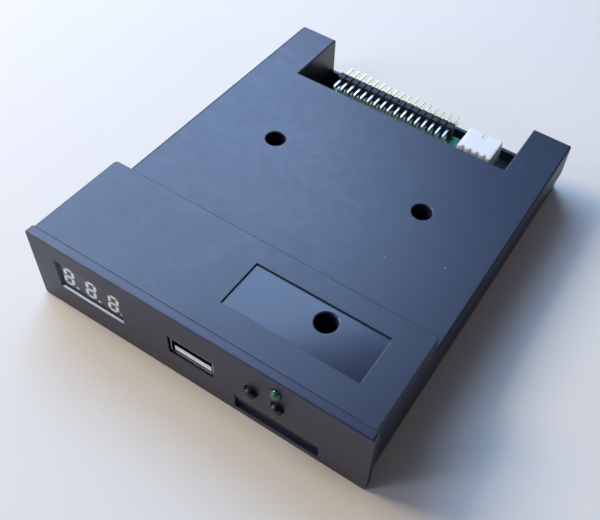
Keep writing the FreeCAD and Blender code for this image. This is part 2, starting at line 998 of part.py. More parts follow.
def capacitor_cans():
    cans = []
    for x, y in can_spots:
        can = Part.makeCylinder(can_r, can_height, V(0, 0, can_base_height))
        can = round_edges(can, edge_r, lambda b: near(b.ZMin, can_base_height + can_height))
        cans.append(on_board(can, x, y))
    return group(cans)


def capacitor_bases():
    bases = []
    for x, y in can_spots:
        base = box(-can_base / 2, can_base / 2, -can_base / 2, can_base / 2, 0, can_base_height)
        edges = [e for e in base.Edges if upright(e.BoundBox) and e.BoundBox.XMin > 0]
        bases.append(on_board(base.makeChamfer(can_chamfer, edges), x, y))
    return group(bases)


def chip_parts(x, y, count, pitch):
    piece = box(-chip_part_width / 2, chip_part_width / 2, -chip_part_length / 2,
                chip_part_length / 2, 0, chip_part_height)
    return group([on_board(piece, x + i * pitch, y) for i in range(count)])


def resistors():
    return chip_parts(resistor_row_x, board_rear - resistor_row_to_rear, resistor_count,
                      resistor_pitch)


def ceramic_capacitors():
    return chip_parts(ceramic_row_x, ceramic_row_y, ceramic_count, ceramic_pitch)


def select_xs():
    return [select_x + i * pin_pitch for i in range(select_count)]


def square_pins(places, z0, z1):
    half = pin_size / 2
    return group([box(x - half, x + half, y - half, y + half, z0, z1) for x, y in places])


def select_pin_places():
    return [(x, select_y) for x in select_xs()]


def select_pins():
    return square_pins(select_pin_places(), board_bottom - select_pin_below,
                       board_top + select_pin_height)


def select_header():
    half = pin_pitch / 2
    body = box(select_xs()[0] - half, select_xs()[-1] + half, select_y - half, select_y + half,
               board_top, board_top + select_body_height)
    return body.cut(select_pins())


def select_jumper():
    """Small link cap over the first two select pins."""
    half = pin_pitch / 2 - select_jumper_play
    z0 = board_top + select_body_height
    cap = box(select_xs()[0] - half, select_xs()[1] + half, select_y - half, select_y + half,
              z0, z0 + select_jumper_height)
    cap = round_edges(cap, edge_r / 2, upright)
    return cap.cut(select_pins())


# --- Lead from the main board to the display ----------------------------------------------
def socket_xs():
    half = (socket_count - 1) / 2
    return [socket_x + (i - half) * socket_pitch for i in range(socket_count)]


def display_socket():
    body = centred_box(socket_x, socket_width, socket_y - socket_depth / 2,
                       socket_y + socket_depth / 2, board_top, board_top + socket_height)
    inner = centred_box(socket_x, socket_width - 2 * socket_wall,
                        socket_y - socket_depth / 2 + socket_wall,
                        socket_y + socket_depth / 2 - socket_wall,
                        board_top + socket_floor, board_top + socket_height + 1)
    return body.cut(inner)


def display_plug():
    width = socket_width - 2 * (socket_wall + plug_play)
    deep = socket_depth - 2 * (socket_wall + plug_play)
    z0 = board_top + socket_floor
    return centred_box(socket_x, width, socket_y - deep / 2, socket_y + deep / 2, z0,
                       z0 + plug_height)


def display_wires():
    """Wires that rise from the plug, turn once and run straight to the display board."""
    z0 = board_top + socket_floor + plug_height
    wires = []
    for x in socket_xs():
        bend_z = wire_entry_z - wire_bend_r
        bend_y = socket_y - wire_bend_r
        rise = rod_z(x, socket_y, z0, bend_z, wire_r)
        run = rod_y(x, wire_entry_z, display_board_rear, bend_y, wire_r)
        circle = Part.Circle(V(x, socket_y, bend_z), Z_AXIS, wire_r)
        disc = Part.Face(Part.Wire(circle.toShape()))
        turn = disc.revolve(V(x, bend_y, bend_z), X_AXIS, 90)
        wires.append(join([rise, turn, run]))
    return group(wires)


# --- USB socket ---------------------------------------------------------------------------
def usb_shell():
    half = usb_width / 2
    top = usb_bottom + usb_height
    shell = box(-half, half, usb_setback, usb_rear, usb_bottom, top)
    shell = round_edges(shell, usb_corner_r, along_y)
    hollow = box(-half + usb_metal, half - usb_metal, usb_setback - 1, usb_rear - usb_metal,
                 usb_bottom + usb_metal, top - usb_metal)
    tails_way = box(-half + usb_metal, half - usb_metal, usb_rear - usb_block_depth,
                    usb_rear - usb_metal, usb_bottom - 1, usb_bottom + usb_metal + 1)
    shell = shell.cut([hollow, tails_way])
    tabs = []
    for side in (-1, 1):
        a = side * half
        b = side * (half - usb_metal)
        tabs.append(box(min(a, b), max(a, b), usb_tab_y - usb_tab_width / 2,
                        usb_tab_y + usb_tab_width / 2, board_bottom - tail_below_board, usb_z))
    return join([shell] + tabs)


def usb_tongue():
    """Insulator: the tongue that carries the contacts and the block behind it."""
    floor = usb_bottom + usb_metal
    block_front = usb_rear - usb_metal - usb_block_depth
    half = usb_width / 2 - usb_metal
    tongue = centred_box(0, tongue_width, usb_setback + tongue_setback, usb_rear - usb_metal,
                         floor + tongue_gap, floor + tongue_gap + tongue_thickness)
    block = box(-half, half, block_front, usb_rear - usb_metal, floor,
                usb_bottom + usb_height - usb_metal)
    return join([tongue, block]).cut(usb_contacts())


def usb_contacts():
    top = usb_bottom + usb_metal + tongue_gap + tongue_thickness
    start = usb_setback + tongue_setback + contact_setback
    end = contact_tail_y + contact_thickness
    contacts = []
    for x in contact_xs:
        strip = centred_box(x, contact_width, start, end, top, top + contact_thickness)
        tail = centred_box(x, tail_width, contact_tail_y, end, board_bottom - tail_below_board,
                           top + contact_thickness)
        contacts.append(join([strip, tail]))
    return group(contacts)


def usb_board_cuts():
    """Slots in the main board for the shell's tabs and the contacts' tails."""
    play = pin_hole_play
    z0 = board_bottom - 1
    z1 = board_top + 1
    cuts = []
    for side in (-1, 1):
        x = side * (usb_width / 2 - usb_metal / 2)
        cuts.append(centred_box(x, usb_metal + 2 * play, usb_tab_y - usb_tab_width / 2 - play,
                                usb_tab_y + usb_tab_width / 2 + play, z0, z1))
    for x in contact_xs:
        cuts.append(centred_box(x, tail_width + 2 * play, contact_tail_y - play,
                                contact_tail_y + contact_thickness + play, z0, z1))
    return cuts


# --- Buttons, switches and status LED -----------------------------------------------------
def button_cap(x):
    stem = rod_y(x, button_z, -button_proud, collar_rear, button_r)
    stem = round_edges(stem, button_edge_r, lambda b: near(b.YMax, -button_proud))
    collar = rod_y(x, button_z, collar_front, collar_rear, button_collar_r)
    socket = rod_y(x, button_z, collar_rear - plunger_in_cap, collar_rear + 1, plunger_r)
    return join([stem, collar]).cut(socket)


def switch_plunger(x):
    head_front = switch_front + switch_front_wall + stop_gap
    stem = rod_y(x, button_z, collar_rear - plunger_in_cap, head_front + plunger_head / 2, plunger_r)
    head = rod_y(x, button_z, head_front, head_front + plunger_head, plunger_head_r)
    return join([stem, head])


def switch_body(x):
    half = switch_size / 2
    body = centred_box(x, switch_size, switch_front, switch_rear, button_z - half, button_z + half)
    bore = rod_y(x, button_z, switch_front - 1, switch_rear - switch_front_wall,
                 plunger_r + switch_play)
    chamber_front = switch_front + switch_front_wall
    chamber = rod_y(x, button_z, chamber_front, switch_rear - switch_front_wall,
                    plunger_head_r + switch_play)
    return body.cut([bore, chamber])


def switch_brackets():
    """Steel frames that hold the switches up from the board: a front plate and two legs."""
    brackets = []
    half = switch_size / 2 + bracket_play
    outer = half + bracket_metal
    top = button_z + switch_size / 2
    foot_y = (switch_front + switch_rear) / 2
    for x in button_xs.values():
        plate = centred_box(x, 2 * outer, bracket_front, switch_front - bracket_play / 2,
                            board_top, top)
        plate = plate.cut(rod_y(x, button_z, bracket_front - 1, switch_front + 1,
                                plunger_r + switch_play + bracket_play))
        legs = []
        for side in (-1, 1):
            a = x + side * half
            b = x + side * outer
            legs.append(box(min(a, b), max(a, b), bracket_front, switch_rear, board_top, top))
            legs.append(box(min(a, b), max(a, b), foot_y - bracket_foot / 2, foot_y + bracket_foot / 2,
                            board_bottom - bracket_foot_below, board_top + 1))
        brackets.append(join([plate] + legs))
    return group(brackets)


def bracket_board_cuts():
    cuts = []
    play = pin_hole_play
    half = switch_size / 2 + bracket_play
    foot_y = (switch_front + switch_rear) / 2
    reach = bracket_foot / 2 + play
    for x in button_xs.values():
        for side in (-1, 1):
            middle = x + side * (half + bracket_metal / 2)
            cuts.append(centred_box(middle, bracket_metal + 2 * play, foot_y - reach, foot_y + reach,
                                    board_bottom - 1, board_top + 1))
    return cuts


def status_led():
    tip = -led_proud
    barrel_end = tip + led_length
    barrel = rod_y(led_x, led_z, tip + led_r, barrel_end, led_r)
    dome = Part.makeSphere(led_r, V(led_x, tip + led_r, led_z))
    flange = rod_y(led_x, led_z, barrel_end - led_flange, barrel_end, led_flange_r)
    return join([barrel, dome, flange])


def led_leg_xs():
    return [led_x + s * led_leg_spacing / 2 for s in (-1, 1)]


def led_leg_y():
    return led_length - led_proud + led_leg_run


def led_legs():
    half = led_leg_width / 2
    start = led_length - led_proud
    legs = []
    for x in led_leg_xs():
        outline = [
            (start, led_z - half), (led_leg_y() - half, led_z - half),
            (led_leg_y() - half, board_bottom - led_leg_below),
            (led_leg_y() + half, board_bottom - led_leg_below),
            (led_leg_y() + half, led_z + half), (start, led_z + half),
        ]
        legs.append(prism_x(outline, x - half, x + half))
    return group(legs)


# --- Rear connectors ----------------------------------------------------------------------
def bent_pin(x, rear, bend_y, z):
    """Square pin: a rearward run at height z and a leg down through the board."""
    half = pin_size / 2
    foot = board_bottom - pin_below_board
    outline = [
        (rear, z - half), (rear, z + half), (bend_y, z + half), (bend_y - half, z),
        (bend_y - half, foot), (bend_y + half, foot), (bend_y + half, z - half),
    ]
    return prism_x(outline, x - half, x + half)


def header_xs():
    half = (header_columns - 1) / 2
    return [header_x + (i - half) * pin_pitch for i in range(header_columns)]


def header_row_z(row):
    return board_top + header_stand + (row + 0.5) * pin_pitch


def header_bend_y(row):
    return header_front - header_first_bend - row * pin_pitch


def header_pins():
    pins = []
    for row in range(header_rows):
        for x in header_xs():
            pins.append(bent_pin(x, header_rear + header_pin_out, header_bend_y(row),
                                 header_row_z(row)))
    return group(pins)


def header_body():
    base = board_top + header_stand
    top = base + header_rows * pin_pitch
    body = centred_box(header_x, header_width, header_front, header_rear, base, top)
    feet = [
        centred_box(x, header_foot_width, header_front, header_rear, board_top,
                    base + header_foot_overlap)
        for x in (header_xs()[0], header_xs()[-1])
    ]
    half = header_groove / 2
    grooves = []
    for i in range(header_columns - 1):
        x = header_xs()[i] + pin_pitch / 2
        for z in (base, top):
            groove = centred_box(0, header_groove, header_front - 1, header_rear + 1, -half, half)
            groove.rotate(V(0, 0, 0), Y_AXIS, 45)
            groove.translate(V(x, 0, z))
            grooves.append(groove)
    return join([body] + feet).cut(grooves).cut(header_pins())


def power_xs():
    half = (power_pins_count - 1) / 2
    return [power_x + (i - half) * power_pitch for i in range(power_pins_count)]


def power_pin_z():
    return board_top + power_pin_rise


def power_bend_y():
    return power_front - power_bend


def power_pins():
    rear = power_rear - power_pin_inset
    return group([bent_pin(x, rear, power_bend_y(), power_pin_z()) for x in power_xs()])


def power_body():
    """White housing: a block that holds the pins and a tray-like shroud open to the rear."""
    top = board_top + power_height
    outside = centred_box(power_x, power_width, power_front, power_rear, board_top, top)
    outside = round_edges(outside, edge_r, lambda b: upright(b) or near(b.ZMin, top))
    mouth = centred_box(power_x, power_width - 2 * power_wall, power_front + power_block,
                        power_rear + 1, board_top + power_wall, top - power_wall)
    slot = centred_box(power_x, power_slot_width, power_rear - power_slot_length, power_rear + 1,
                       top - power_wall - 1, top + 1)
    notches = [
        centred_box(x, power_notch_width, power_front - 1, power_front + power_notch_depth,
                    power_pin_z(), top + 1)
        for x in power_xs()
    ]
    return outside.cut([mouth, slot] + notches).cut(power_pins())


# --- Main board ---------------------------------------------------------------------------
def main_board():
    plate = box(board_left, board_right, board_front, board_rear, board_bottom, board_top)
    bay = box(board_left - 1, display_bay_right, board_front - 1, display_bay_depth,
              board_bottom - 1, board_top + 1)
    hole_r = pin_hole_r
    z0 = board_bottom - 1
    z1 = board_top + 1
    beside_tail = [
        box(board_left - 1, header_left - board_tail_past_header, board_tail_front, board_rear + 1,
            board_bottom - 1, board_top + 1),
        box(power_right + board_tail_past_power, board_right + 1, board_tail_front, board_rear + 1,
            board_bottom - 1, board_top + 1),
    ]
    cuts = [bay] + beside_tail + usb_board_cuts() + bracket_board_cuts()
    for x, y, _top in wells:
        cuts.append(rod_z(x, y, z0, z1, post_r + post_clearance))
    for x, y in board_screws:
        cuts.append(rod_z(x, y, z0, z1, board_screw_r + screw_clearance))
    for row in range(header_rows):
        for x in header_xs():
            cuts.append(rod_z(x, header_bend_y(row), z0, z1, hole_r))
    for x in power_xs():
        cuts.append(rod_z(x, power_bend_y(), z0, z1, hole_r))
    for x in select_xs():
        cuts.append(rod_z(x, select_y, z0, z1, hole_r))
    for x in led_leg_xs():
        cuts.append(rod_z(x, led_leg_y(), z0, z1, led_leg_width / 2 + led_leg_play))
    return plate.cut(cuts)


# --- Export -------------------------------------------------------------------------------
parts = {
    "top_cover": top_cover,
    "bottom_tray": bottom_tray,
    "front_bezel": front_bezel,
    "cover_screws": cover_screws,
    "board_screws": board_screw_set,
    "display_screws": display_screws,
    "display_body": display_body,
    "display_segments": display_segments,
    "display_pins": display_pins,
    "display_board": display_board,
    "display_driver": display_driver,
    "display_driver_leads": display_driver_leads,
    "display_socket": display_socket,
    "display_plug": display_plug,
    "display_wires": display_wires,
    "main_board": main_board,
    "usb_shell": usb_shell,
    "usb_tongue": usb_tongue,
    "usb_contacts": usb_contacts,
    "switch_brackets": switch_brackets,
    "status_led": status_led,
    "led_legs": led_legs,
    "header_body": header_body,
    "header_pins": header_pins,
    "power_body": power_body,
    "power_pins": power_pins,
    "microcontroller": microcontroller,
    "microcontroller_leads": microcontroller_leads,
    "crystal": crystal,
    "line_drivers": line_drivers,
    "line_driver_leads": line_driver_leads,
    "regulator": regulator,
    "regulator_leads": regulator_leads,
    "capacitor_cans": capacitor_cans,
    "capacitor_bases": capacitor_bases,
    "ceramic_capacitors": ceramic_capacitors,
    "resistors": resistors,
    "select_header": select_header,
    "select_pins": select_pins,
    "select_jumper": select_jumper,
}

os.makedirs("parts", exist_ok=True)
for part_name, build in parts.items():
    save(part_name, build())
for side_name, button_x in button_xs.items():
    save("button_cap_" + side_name, button_cap(button_x))
    save("switch_plunger_" + side_name, switch_plunger(button_x))
    save("switch_body_" + side_name, switch_body(button_x))
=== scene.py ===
import math
from typing import NamedTuple

import bmesh
import bpy
from bpy.props import (
    FloatProperty,
    FloatVectorProperty,
    IntProperty,
    PointerProperty,
    StringProperty,
)
from mathutils import Matrix, Vector


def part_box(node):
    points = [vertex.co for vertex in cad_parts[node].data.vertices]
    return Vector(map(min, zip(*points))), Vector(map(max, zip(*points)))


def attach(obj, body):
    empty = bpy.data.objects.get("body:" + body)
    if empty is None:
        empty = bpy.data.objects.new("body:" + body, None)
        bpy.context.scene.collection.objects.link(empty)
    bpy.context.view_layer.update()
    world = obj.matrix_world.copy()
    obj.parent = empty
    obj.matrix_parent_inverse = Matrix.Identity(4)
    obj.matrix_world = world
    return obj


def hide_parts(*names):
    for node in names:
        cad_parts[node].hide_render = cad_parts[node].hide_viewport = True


bl_info = {
    "name": "Floppy-bay drive finishes",
    "version": (1, 0, 0),
    "blender": (4, 5, 0),
    "location": "View3D > Sidebar > Bay drive",
    "description": "Dresses a black floppy-bay drive housing with a digit display and a USB socket",
    "category": "Object",
}

# Everything is in metres, in the frame's own axes: x across, y rearwards, z up.
MM = 0.001
UP = Vector((0, 0, 1))
QUARTER_TURN = math.radians(90)
# Noise seldom leaves this range, so a finish's own range is mapped from it.
FROM_NOISE = {"from_min": 0.3, "from_max": 0.7}
COLOUR_MIX = {"data_type": "RGBA"}

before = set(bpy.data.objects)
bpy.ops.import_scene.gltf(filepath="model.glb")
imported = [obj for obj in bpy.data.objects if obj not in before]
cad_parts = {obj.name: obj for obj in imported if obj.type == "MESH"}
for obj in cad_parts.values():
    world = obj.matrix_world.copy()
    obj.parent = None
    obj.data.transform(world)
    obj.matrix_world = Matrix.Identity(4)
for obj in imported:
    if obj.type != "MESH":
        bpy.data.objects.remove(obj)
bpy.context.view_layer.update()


def middle(node):
    """Centre of a CAD node's box."""
    low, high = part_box(node)
    return (low + high) / 2


def size_of(node):
    """Sides of a CAD node's box."""
    low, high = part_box(node)
    return high - low


# --- Settings a user would change ----------------------------------------------------------------


class HousingSettings(bpy.types.PropertyGroup):
    """Moulded plastic of the cover, the tray and the bezel."""

    plastic: StringProperty(
        name="Plastic",
        description="Colour of the cover's and the tray's black ABS, as sRGB hex",
        default="#202739",
    )
    bezel_plastic: StringProperty(
        name="Bezel plastic",
        description="Colour of the bezel's black ABS, as sRGB hex",
        default="#1a1e37",
    )
    satin: FloatProperty(
        name="Satin roughness",
        description="Roughness of the spark-eroded faces",
        default=0.36,
        min=0.0,
        max=1.0,
        subtype="FACTOR",
    )
    polished: FloatProperty(
        name="Polished roughness",
        description="Roughness of the label recess, which the mould leaves smooth",
        default=0.16,
        min=0.0,
        max=1.0,
        subtype="FACTOR",
    )
    grain: FloatProperty(
        name="Grain",
        description="Width of one pit of the spark-eroded texture",
        default=0.35 * MM,
        min=0.05 * MM,
        max=2 * MM,
        unit="LENGTH",
    )


class ConnectorSettings(bpy.types.PropertyGroup):
    """Sizes of the small metal pieces that are modelled here."""

    pin_pitch: FloatProperty(
        name="Pin pitch",
        description="Spacing of the header's pins",
        default=2.54 * MM,
        unit="LENGTH",
    )
    pin_size: FloatProperty(
        name="Pin size",
        description="Side of a square pin",
        default=0.64 * MM,
        unit="LENGTH",
    )
    power_pitch: FloatProperty(
        name="Power pitch",
        description="Spacing of the power socket's pins",
        default=2.5 * MM,
        unit="LENGTH",
    )
    solder_radius: FloatProperty(
        name="Solder radius",
        description="Radius of a solder joint where it meets its pad",
        default=0.85 * MM,
        unit="LENGTH",
    )
    header_columns: IntProperty(
        name="Header columns",
        description="Pins in one row of the floppy header",
        default=17,
        min=1,
    )


class StudioSettings(bpy.types.PropertyGroup):
    """Camera, floor and lights."""

    camera_place: FloatVectorProperty(
        name="Camera place",
        description="Where the camera stands",
        default=(76.6 * MM, -132.25 * MM, 180.4 * MM),
        subtype="TRANSLATION",
        unit="LENGTH",
    )
    camera_turn: FloatVectorProperty(
        name="Camera turn",
        description="The camera's X, Y and Z turns",
        default=(math.radians(40.58), math.radians(-5.41), math.radians(31.02)),
        subtype="EULER",
        unit="ROTATION",
    )
    lens: FloatProperty(
        name="Lens",
        description="Focal length on a 36 mm wide sensor, in millimetres",
        default=47.36,
        min=10,
        max=300,
    )
    shift_x: FloatProperty(
        name="Shift X",
        description="Sideways framing, in widths of the image",
        default=-0.122,
    )
    shift_y: FloatProperty(
        name="Shift Y",
        description="Upward framing, in widths of the image",
        default=-0.044,
    )
    floor: StringProperty(
        name="Floor",
        description="Colour of the floor, as sRGB hex",
        default="#efeadd",
    )
    backdrop: StringProperty(
        name="Backdrop",
        description="Colour that the far floor and the wall are seen in, as sRGB hex",
        default="#dfe2e8",
    )
    fade_start: FloatProperty(
        name="Fade start",
        description="Distance from the object where the backdrop's colour starts",
        default=0.22,
        unit="LENGTH",
    )
    fade_end: FloatProperty(
        name="Fade end",
        description="Distance from the object where the backdrop's colour is full",
        default=0.52,
        unit="LENGTH",
    )


def settings(name):
    """The scene's own copy of a group of settings."""
    return getattr(bpy.context.scene, name)


# --- Small helpers -------------------------------------------------------------------------------


def linear(hex_colour):
    """An sRGB hex value as linear RGBA."""
    channels = [int(hex_colour[i : i + 2], 16) / 255 for i in (1, 3, 5)]
    return tuple(
        c / 12.92 if c <= 0.04045 else ((c + 0.055) / 1.055) ** 2.4 for c in channels
    ) + (1.0,)


def add_node(tree, kind, options=None, **inputs):
    """Adds a node, sets its options and sets or links its inputs.

    An input goes by its name in lower case with _ for spaces, or by its place as _0, _1. A node
    given as an input is linked from its first output in use.
    """
    node = tree.nodes.new(kind)
    for key, value in (options or {}).items():
        setattr(node, key, value)
    for key, value in inputs.items():
        if key[1:].isdigit():
            socket = node.inputs[int(key[1:])]
        else:
            wanted = key.replace("_", " ").lower()
            socket = next(s for s in node.inputs if s.name.lower() == wanted and s.enabled)
        if isinstance(value, bpy.types.Node):
            value = next(s for s in value.outputs if s.enabled)
        if isinstance(value, bpy.types.NodeSocket):
            tree.links.new(value, socket)
        else:
            socket.default_value = value
    return node


def new_material(name):
    """An empty material, its tree and the Object coordinates that its patterns follow."""
    material = bpy.data.materials.new(name)
    material.use_nodes = True
    tree = material.node_tree
    tree.nodes.clear()
    place = add_node(tree, "ShaderNodeTexCoord").outputs["Object"]
    return material, tree, place


def shaded(material, **inputs):
    """Ends a material in a Principled shader with these inputs."""
    tree = material.node_tree
    shader = add_node(tree, "ShaderNodeBsdfPrincipled", **inputs)
    add_node(tree, "ShaderNodeOutputMaterial", surface=shader)
    return material


def inside_box(tree, place, centre, half):
    """Nodes that give 1 inside a box, told by its centre and half sizes, else 0."""
    subtract = {"operation": "SUBTRACT"}
    greatest = {"operation": "MAXIMUM"}
    offset = add_node(tree, "ShaderNodeVectorMath", subtract, _0=place, _1=tuple(centre))
    away = add_node(tree, "ShaderNodeVectorMath", {"operation": "ABSOLUTE"}, _0=offset)
    past = add_node(tree, "ShaderNodeVectorMath", subtract, _0=away, _1=tuple(half))
    parts = add_node(tree, "ShaderNodeSeparateXYZ", vector=past).outputs
    level = add_node(tree, "ShaderNodeMath", greatest, _0=parts["X"], _1=parts["Y"])
    furthest = add_node(tree, "ShaderNodeMath", greatest, _0=level, _1=parts["Z"])
    return add_node(tree, "ShaderNodeMath", {"operation": "LESS_THAN"}, _0=furthest, _1=0.0)


def dress(node, material):
    """Gives a CAD node or a new piece its material in place of every slot it has."""
    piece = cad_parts[node] if isinstance(node, str) else node
    piece.data.materials.clear()
    piece.data.materials.append(material)


def finished(bm, name, material, body):
    """Makes the bmesh a piece at the origin that rides on a body."""
    mesh = bpy.data.meshes.new(name)
    bm.to_mesh(mesh)
    bm.free()
    piece = bpy.data.objects.new(name, mesh)
    bpy.context.scene.collection.objects.link(piece)
    dress(piece, material)
    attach(piece, body)
    return piece


# --- Materials: plastics -------------------------------------------------------------------------


class Zone(NamedTuple):
    """A box on a moulded part inside which the mould's finish differs."""

    centre: Vector
    half: Vector
    roughness: float
    pit_depth: float
    gloss: float


def moulded_abs(name, colour, roughness, grain, zones):
    """Injection-moulded black ABS from a spark-eroded mould: an even satin with tiny pits,
    faintly uneven where hands and packing have rubbed it, burnished at its edges and painted
    lighter there, partly as wear and partly as a painted highlight, and with a little dust on it."""
    material, tree, place = new_material(name)
    rubbed = add_node(
        tree, "ShaderNodeTexNoise", vector=place, scale=1 / (24 * MM), detail=4.0, roughness=0.6
    )
    fine = add_node(tree, "ShaderNodeTexNoise", vector=place, scale=1 / (3 * MM), detail=3.0)
    # Real pits are some 0.1 mm wide, too fine to show, so the grain is drawn coarser.
    pits = add_node(tree, "ShaderNodeTexNoise", vector=place, scale=1 / grain, detail=1.0)
    # Noise drawn out sideways, to scratches 18 mm long and 0.4 mm wide, which is broader than
    # real ones so that they show.
    width = 9 * MM
    drawn_out = add_node(
        tree, "ShaderNodeMapping", vector=place, scale=(0.5 / width, 22 / width, 1 / width)
    )
    scratches = add_node(tree, "ShaderNodeTexNoise", vector=drawn_out, scale=1.0, detail=2.0)

    # An edge is where the rounded normal leaves the flat one.
    softened = add_node(tree, "ShaderNodeBevel", {"samples": 8}, radius=0.3 * MM)
    flat = add_node(tree, "ShaderNodeNewGeometry").outputs["True Normal"]
    turned = add_node(
        tree, "ShaderNodeVectorMath", {"operation": "DOT_PRODUCT"}, _0=softened, _1=flat
    )
    edge = add_node(tree, "ShaderNodeMapRange", value=turned, from_min=0.99, from_max=0.85)

    # Specks of dust, 0.2 mm in radius, in a few of the cells, which are 5 mm wide.
    cells = add_node(
        tree, "ShaderNodeTexVoronoi", {"feature": "F1"}, vector=place, scale=1 / (5 * MM)
    ).outputs
    picked = add_node(tree, "ShaderNodeSeparateColor", color=cells["Color"]).outputs["Red"]
    rare = add_node(tree, "ShaderNodeMath", {"operation": "GREATER_THAN"}, _0=picked, _1=0.82)
    tiny = add_node(
        tree, "ShaderNodeMath", {"operation": "LESS_THAN"}, _0=cells["Distance"], _1=0.045
    )
    dust = add_node(tree, "ShaderNodeMath", {"operation": "MULTIPLY"}, _0=rare, _1=tiny)

    rubbed_share = add_node(
        tree, "ShaderNodeMapRange", value=rubbed, from_min=0.35, from_max=0.7, to_max=0.12
    )
    edge_wear_and_highlight = add_node(tree, "ShaderNodeMath", {"operation": "MULTIPLY"}, _0=edge, _1=0.4)
    dust_share = add_node(tree, "ShaderNodeMath", {"operation": "MULTIPLY"}, _0=dust, _1=0.5)
    worn = linear(colour)
    # The edges are painted lighter, partly as wear and partly as a painted highlight.
    for share, wear_colour in (
        (rubbed_share, "#3a3d47"),
        (edge_wear_and_highlight, "#575c6d"),
        (dust_share, "#b9bcc4"),
    ):
        worn = add_node(
            tree, "ShaderNodeMix", COLOUR_MIX, factor=share, a=worn, b=linear(wear_colour)
        )

    uneven = add_node(
        tree,
        "ShaderNodeMapRange",
        value=rubbed,
        to_min=roughness - 0.02,
        to_max=roughness + 0.02,
        **FROM_NOISE,
    )
    ripple = add_node(
        tree, "ShaderNodeMapRange", value=fine, to_min=-0.02, to_max=0.02, **FROM_NOISE
    )
    scratched = add_node(
        tree, "ShaderNodeMapRange", value=scratches, from_min=0.66, from_max=0.74, to_max=0.08
    )
    rough = add_node(tree, "ShaderNodeMath", {"operation": "ADD"}, _0=uneven, _1=ripple)
    rough = add_node(tree, "ShaderNodeMath", {"operation": "SUBTRACT"}, _0=rough, _1=scratched)
    pit_depth = 0.5
    gloss = 0.5
    for zone in zones:
        inside = inside_box(tree, place, zone.centre, zone.half)
        zone_rough = add_node(
            tree,
            "ShaderNodeMapRange",
            value=fine,
            to_min=zone.roughness - 0.008,
            to_max=zone.roughness + 0.012,
            **FROM_NOISE,
        )
        rough = add_node(tree, "ShaderNodeMix", factor=inside, a=rough, b=zone_rough)
        pit_depth = add_node(tree, "ShaderNodeMix", factor=inside, a=pit_depth, b=zone.pit_depth)
        gloss = add_node(tree, "ShaderNodeMix", factor=inside, a=gloss, b=zone.gloss)
    polish = add_node(tree, "ShaderNodeMath", {"operation": "MULTIPLY"}, _0=edge, _1=0.12)
    rough = add_node(tree, "ShaderNodeMath", {"operation": "SUBTRACT"}, _0=rough, _1=polish)
    dulling = add_node(tree, "ShaderNodeMath", {"operation": "MULTIPLY"}, _0=dust, _1=0.3)
    rough = add_node(tree, "ShaderNodeMath", {"operation": "ADD"}, _0=rough, _1=dulling)
    relief = add_node(
        tree,
        "ShaderNodeBump",
        height=pits,
        distance=0.03 * MM,
        strength=pit_depth,
        normal=softened,
    )
    return shaded(
        material,
        base_color=worn,
        roughness=rough,
        ior=1.6,
        specular_ior_level=gloss,
        normal=relief,
    )


def smooth_plastic(name, colour, shade, roughness, subsurface=0.0):
    """Small moulded plastic piece: a smooth skin, slightly uneven in gloss and colour.
    Subsurface is the share of light that goes into a pale plastic and comes out close by."""
    material, tree, place = new_material(name)
    cloudy = add_node(tree, "ShaderNodeTexNoise", vector=place, scale=1 / (4 * MM), detail=3.0)
    fine = add_node(tree, "ShaderNodeTexNoise", vector=place, scale=1 / (0.5 * MM), detail=2.0)
    share = add_node(tree, "ShaderNodeMapRange", value=cloudy, **FROM_NOISE)
    skin = add_node(
        tree, "ShaderNodeMix", COLOUR_MIX, factor=share, a=linear(colour), b=linear(shade)
    )
    rough = add_node(
        tree,
        "ShaderNodeMapRange",
        value=fine,
        to_min=roughness - 0.04,
        to_max=roughness + 0.06,
        **FROM_NOISE,
    )
    relief = add_node(tree, "ShaderNodeBump", height=fine, distance=0.008 * MM, strength=0.4)
    return shaded(
        material,
        base_color=skin,
        roughness=rough,
        ior=1.5,
        normal=relief,
        subsurface_weight=subsurface,
        subsurface_radius=(1.8 * MM, 1.6 * MM, 1.4 * MM),
        subsurface_scale=1.0,
    )


def tongue_with_painted_shade(name, nose_colour, painted_shade_colour, nose_y):
    """Glass-filled plastic tongue: pale at the nose, and painted dark behind the given place along
    y, as painted shade where the shell over it keeps light off its top."""
    material, tree, place = new_material(name)
    fine = add_node(tree, "ShaderNodeTexNoise", vector=place, scale=1 / (0.4 * MM), detail=2.0)
    along = add_node(tree, "ShaderNodeSeparateXYZ", vector=place).outputs["Y"]
    nose = add_node(tree, "ShaderNodeMath", {"operation": "LESS_THAN"}, _0=along, _1=nose_y)
    skin = add_node(
        tree,
        "ShaderNodeMix",
        COLOUR_MIX,
        factor=nose,
        a=linear(painted_shade_colour),
        b=linear(nose_colour),
    )
    rough = add_node(
        tree, "ShaderNodeMapRange", value=fine, to_min=0.34, to_max=0.44, **FROM_NOISE
    )
    relief = add_node(tree, "ShaderNodeBump", height=fine, distance=0.008 * MM, strength=0.4)
    return shaded(material, base_color=skin, roughness=rough, ior=1.5, normal=relief)


def tinted_epoxy(name, colour, shade):
    """Clear epoxy dyed green, cast in a polished mould: glassy, with the dye a little uneven."""
    material, tree, place = new_material(name)
    swirl = add_node(tree, "ShaderNodeTexNoise", vector=place, scale=1 / (1.2 * MM), detail=2.0)
    share = add_node(tree, "ShaderNodeMapRange", value=swirl, **FROM_NOISE)
    dyed = add_node(
        tree, "ShaderNodeMix", COLOUR_MIX, factor=share, a=linear(colour), b=linear(shade)
    )
    rough = add_node(
        tree, "ShaderNodeMapRange", value=swirl, to_min=0.04, to_max=0.09, **FROM_NOISE
    )
    return shaded(
        material,
        base_color=dyed,
        roughness=rough,
        ior=1.53,
        transmission_weight=0.15,
        coat_weight=0.4,
        coat_roughness=0.08,
    )


# --- Materials: metals ---------------------------------------------------------------------------


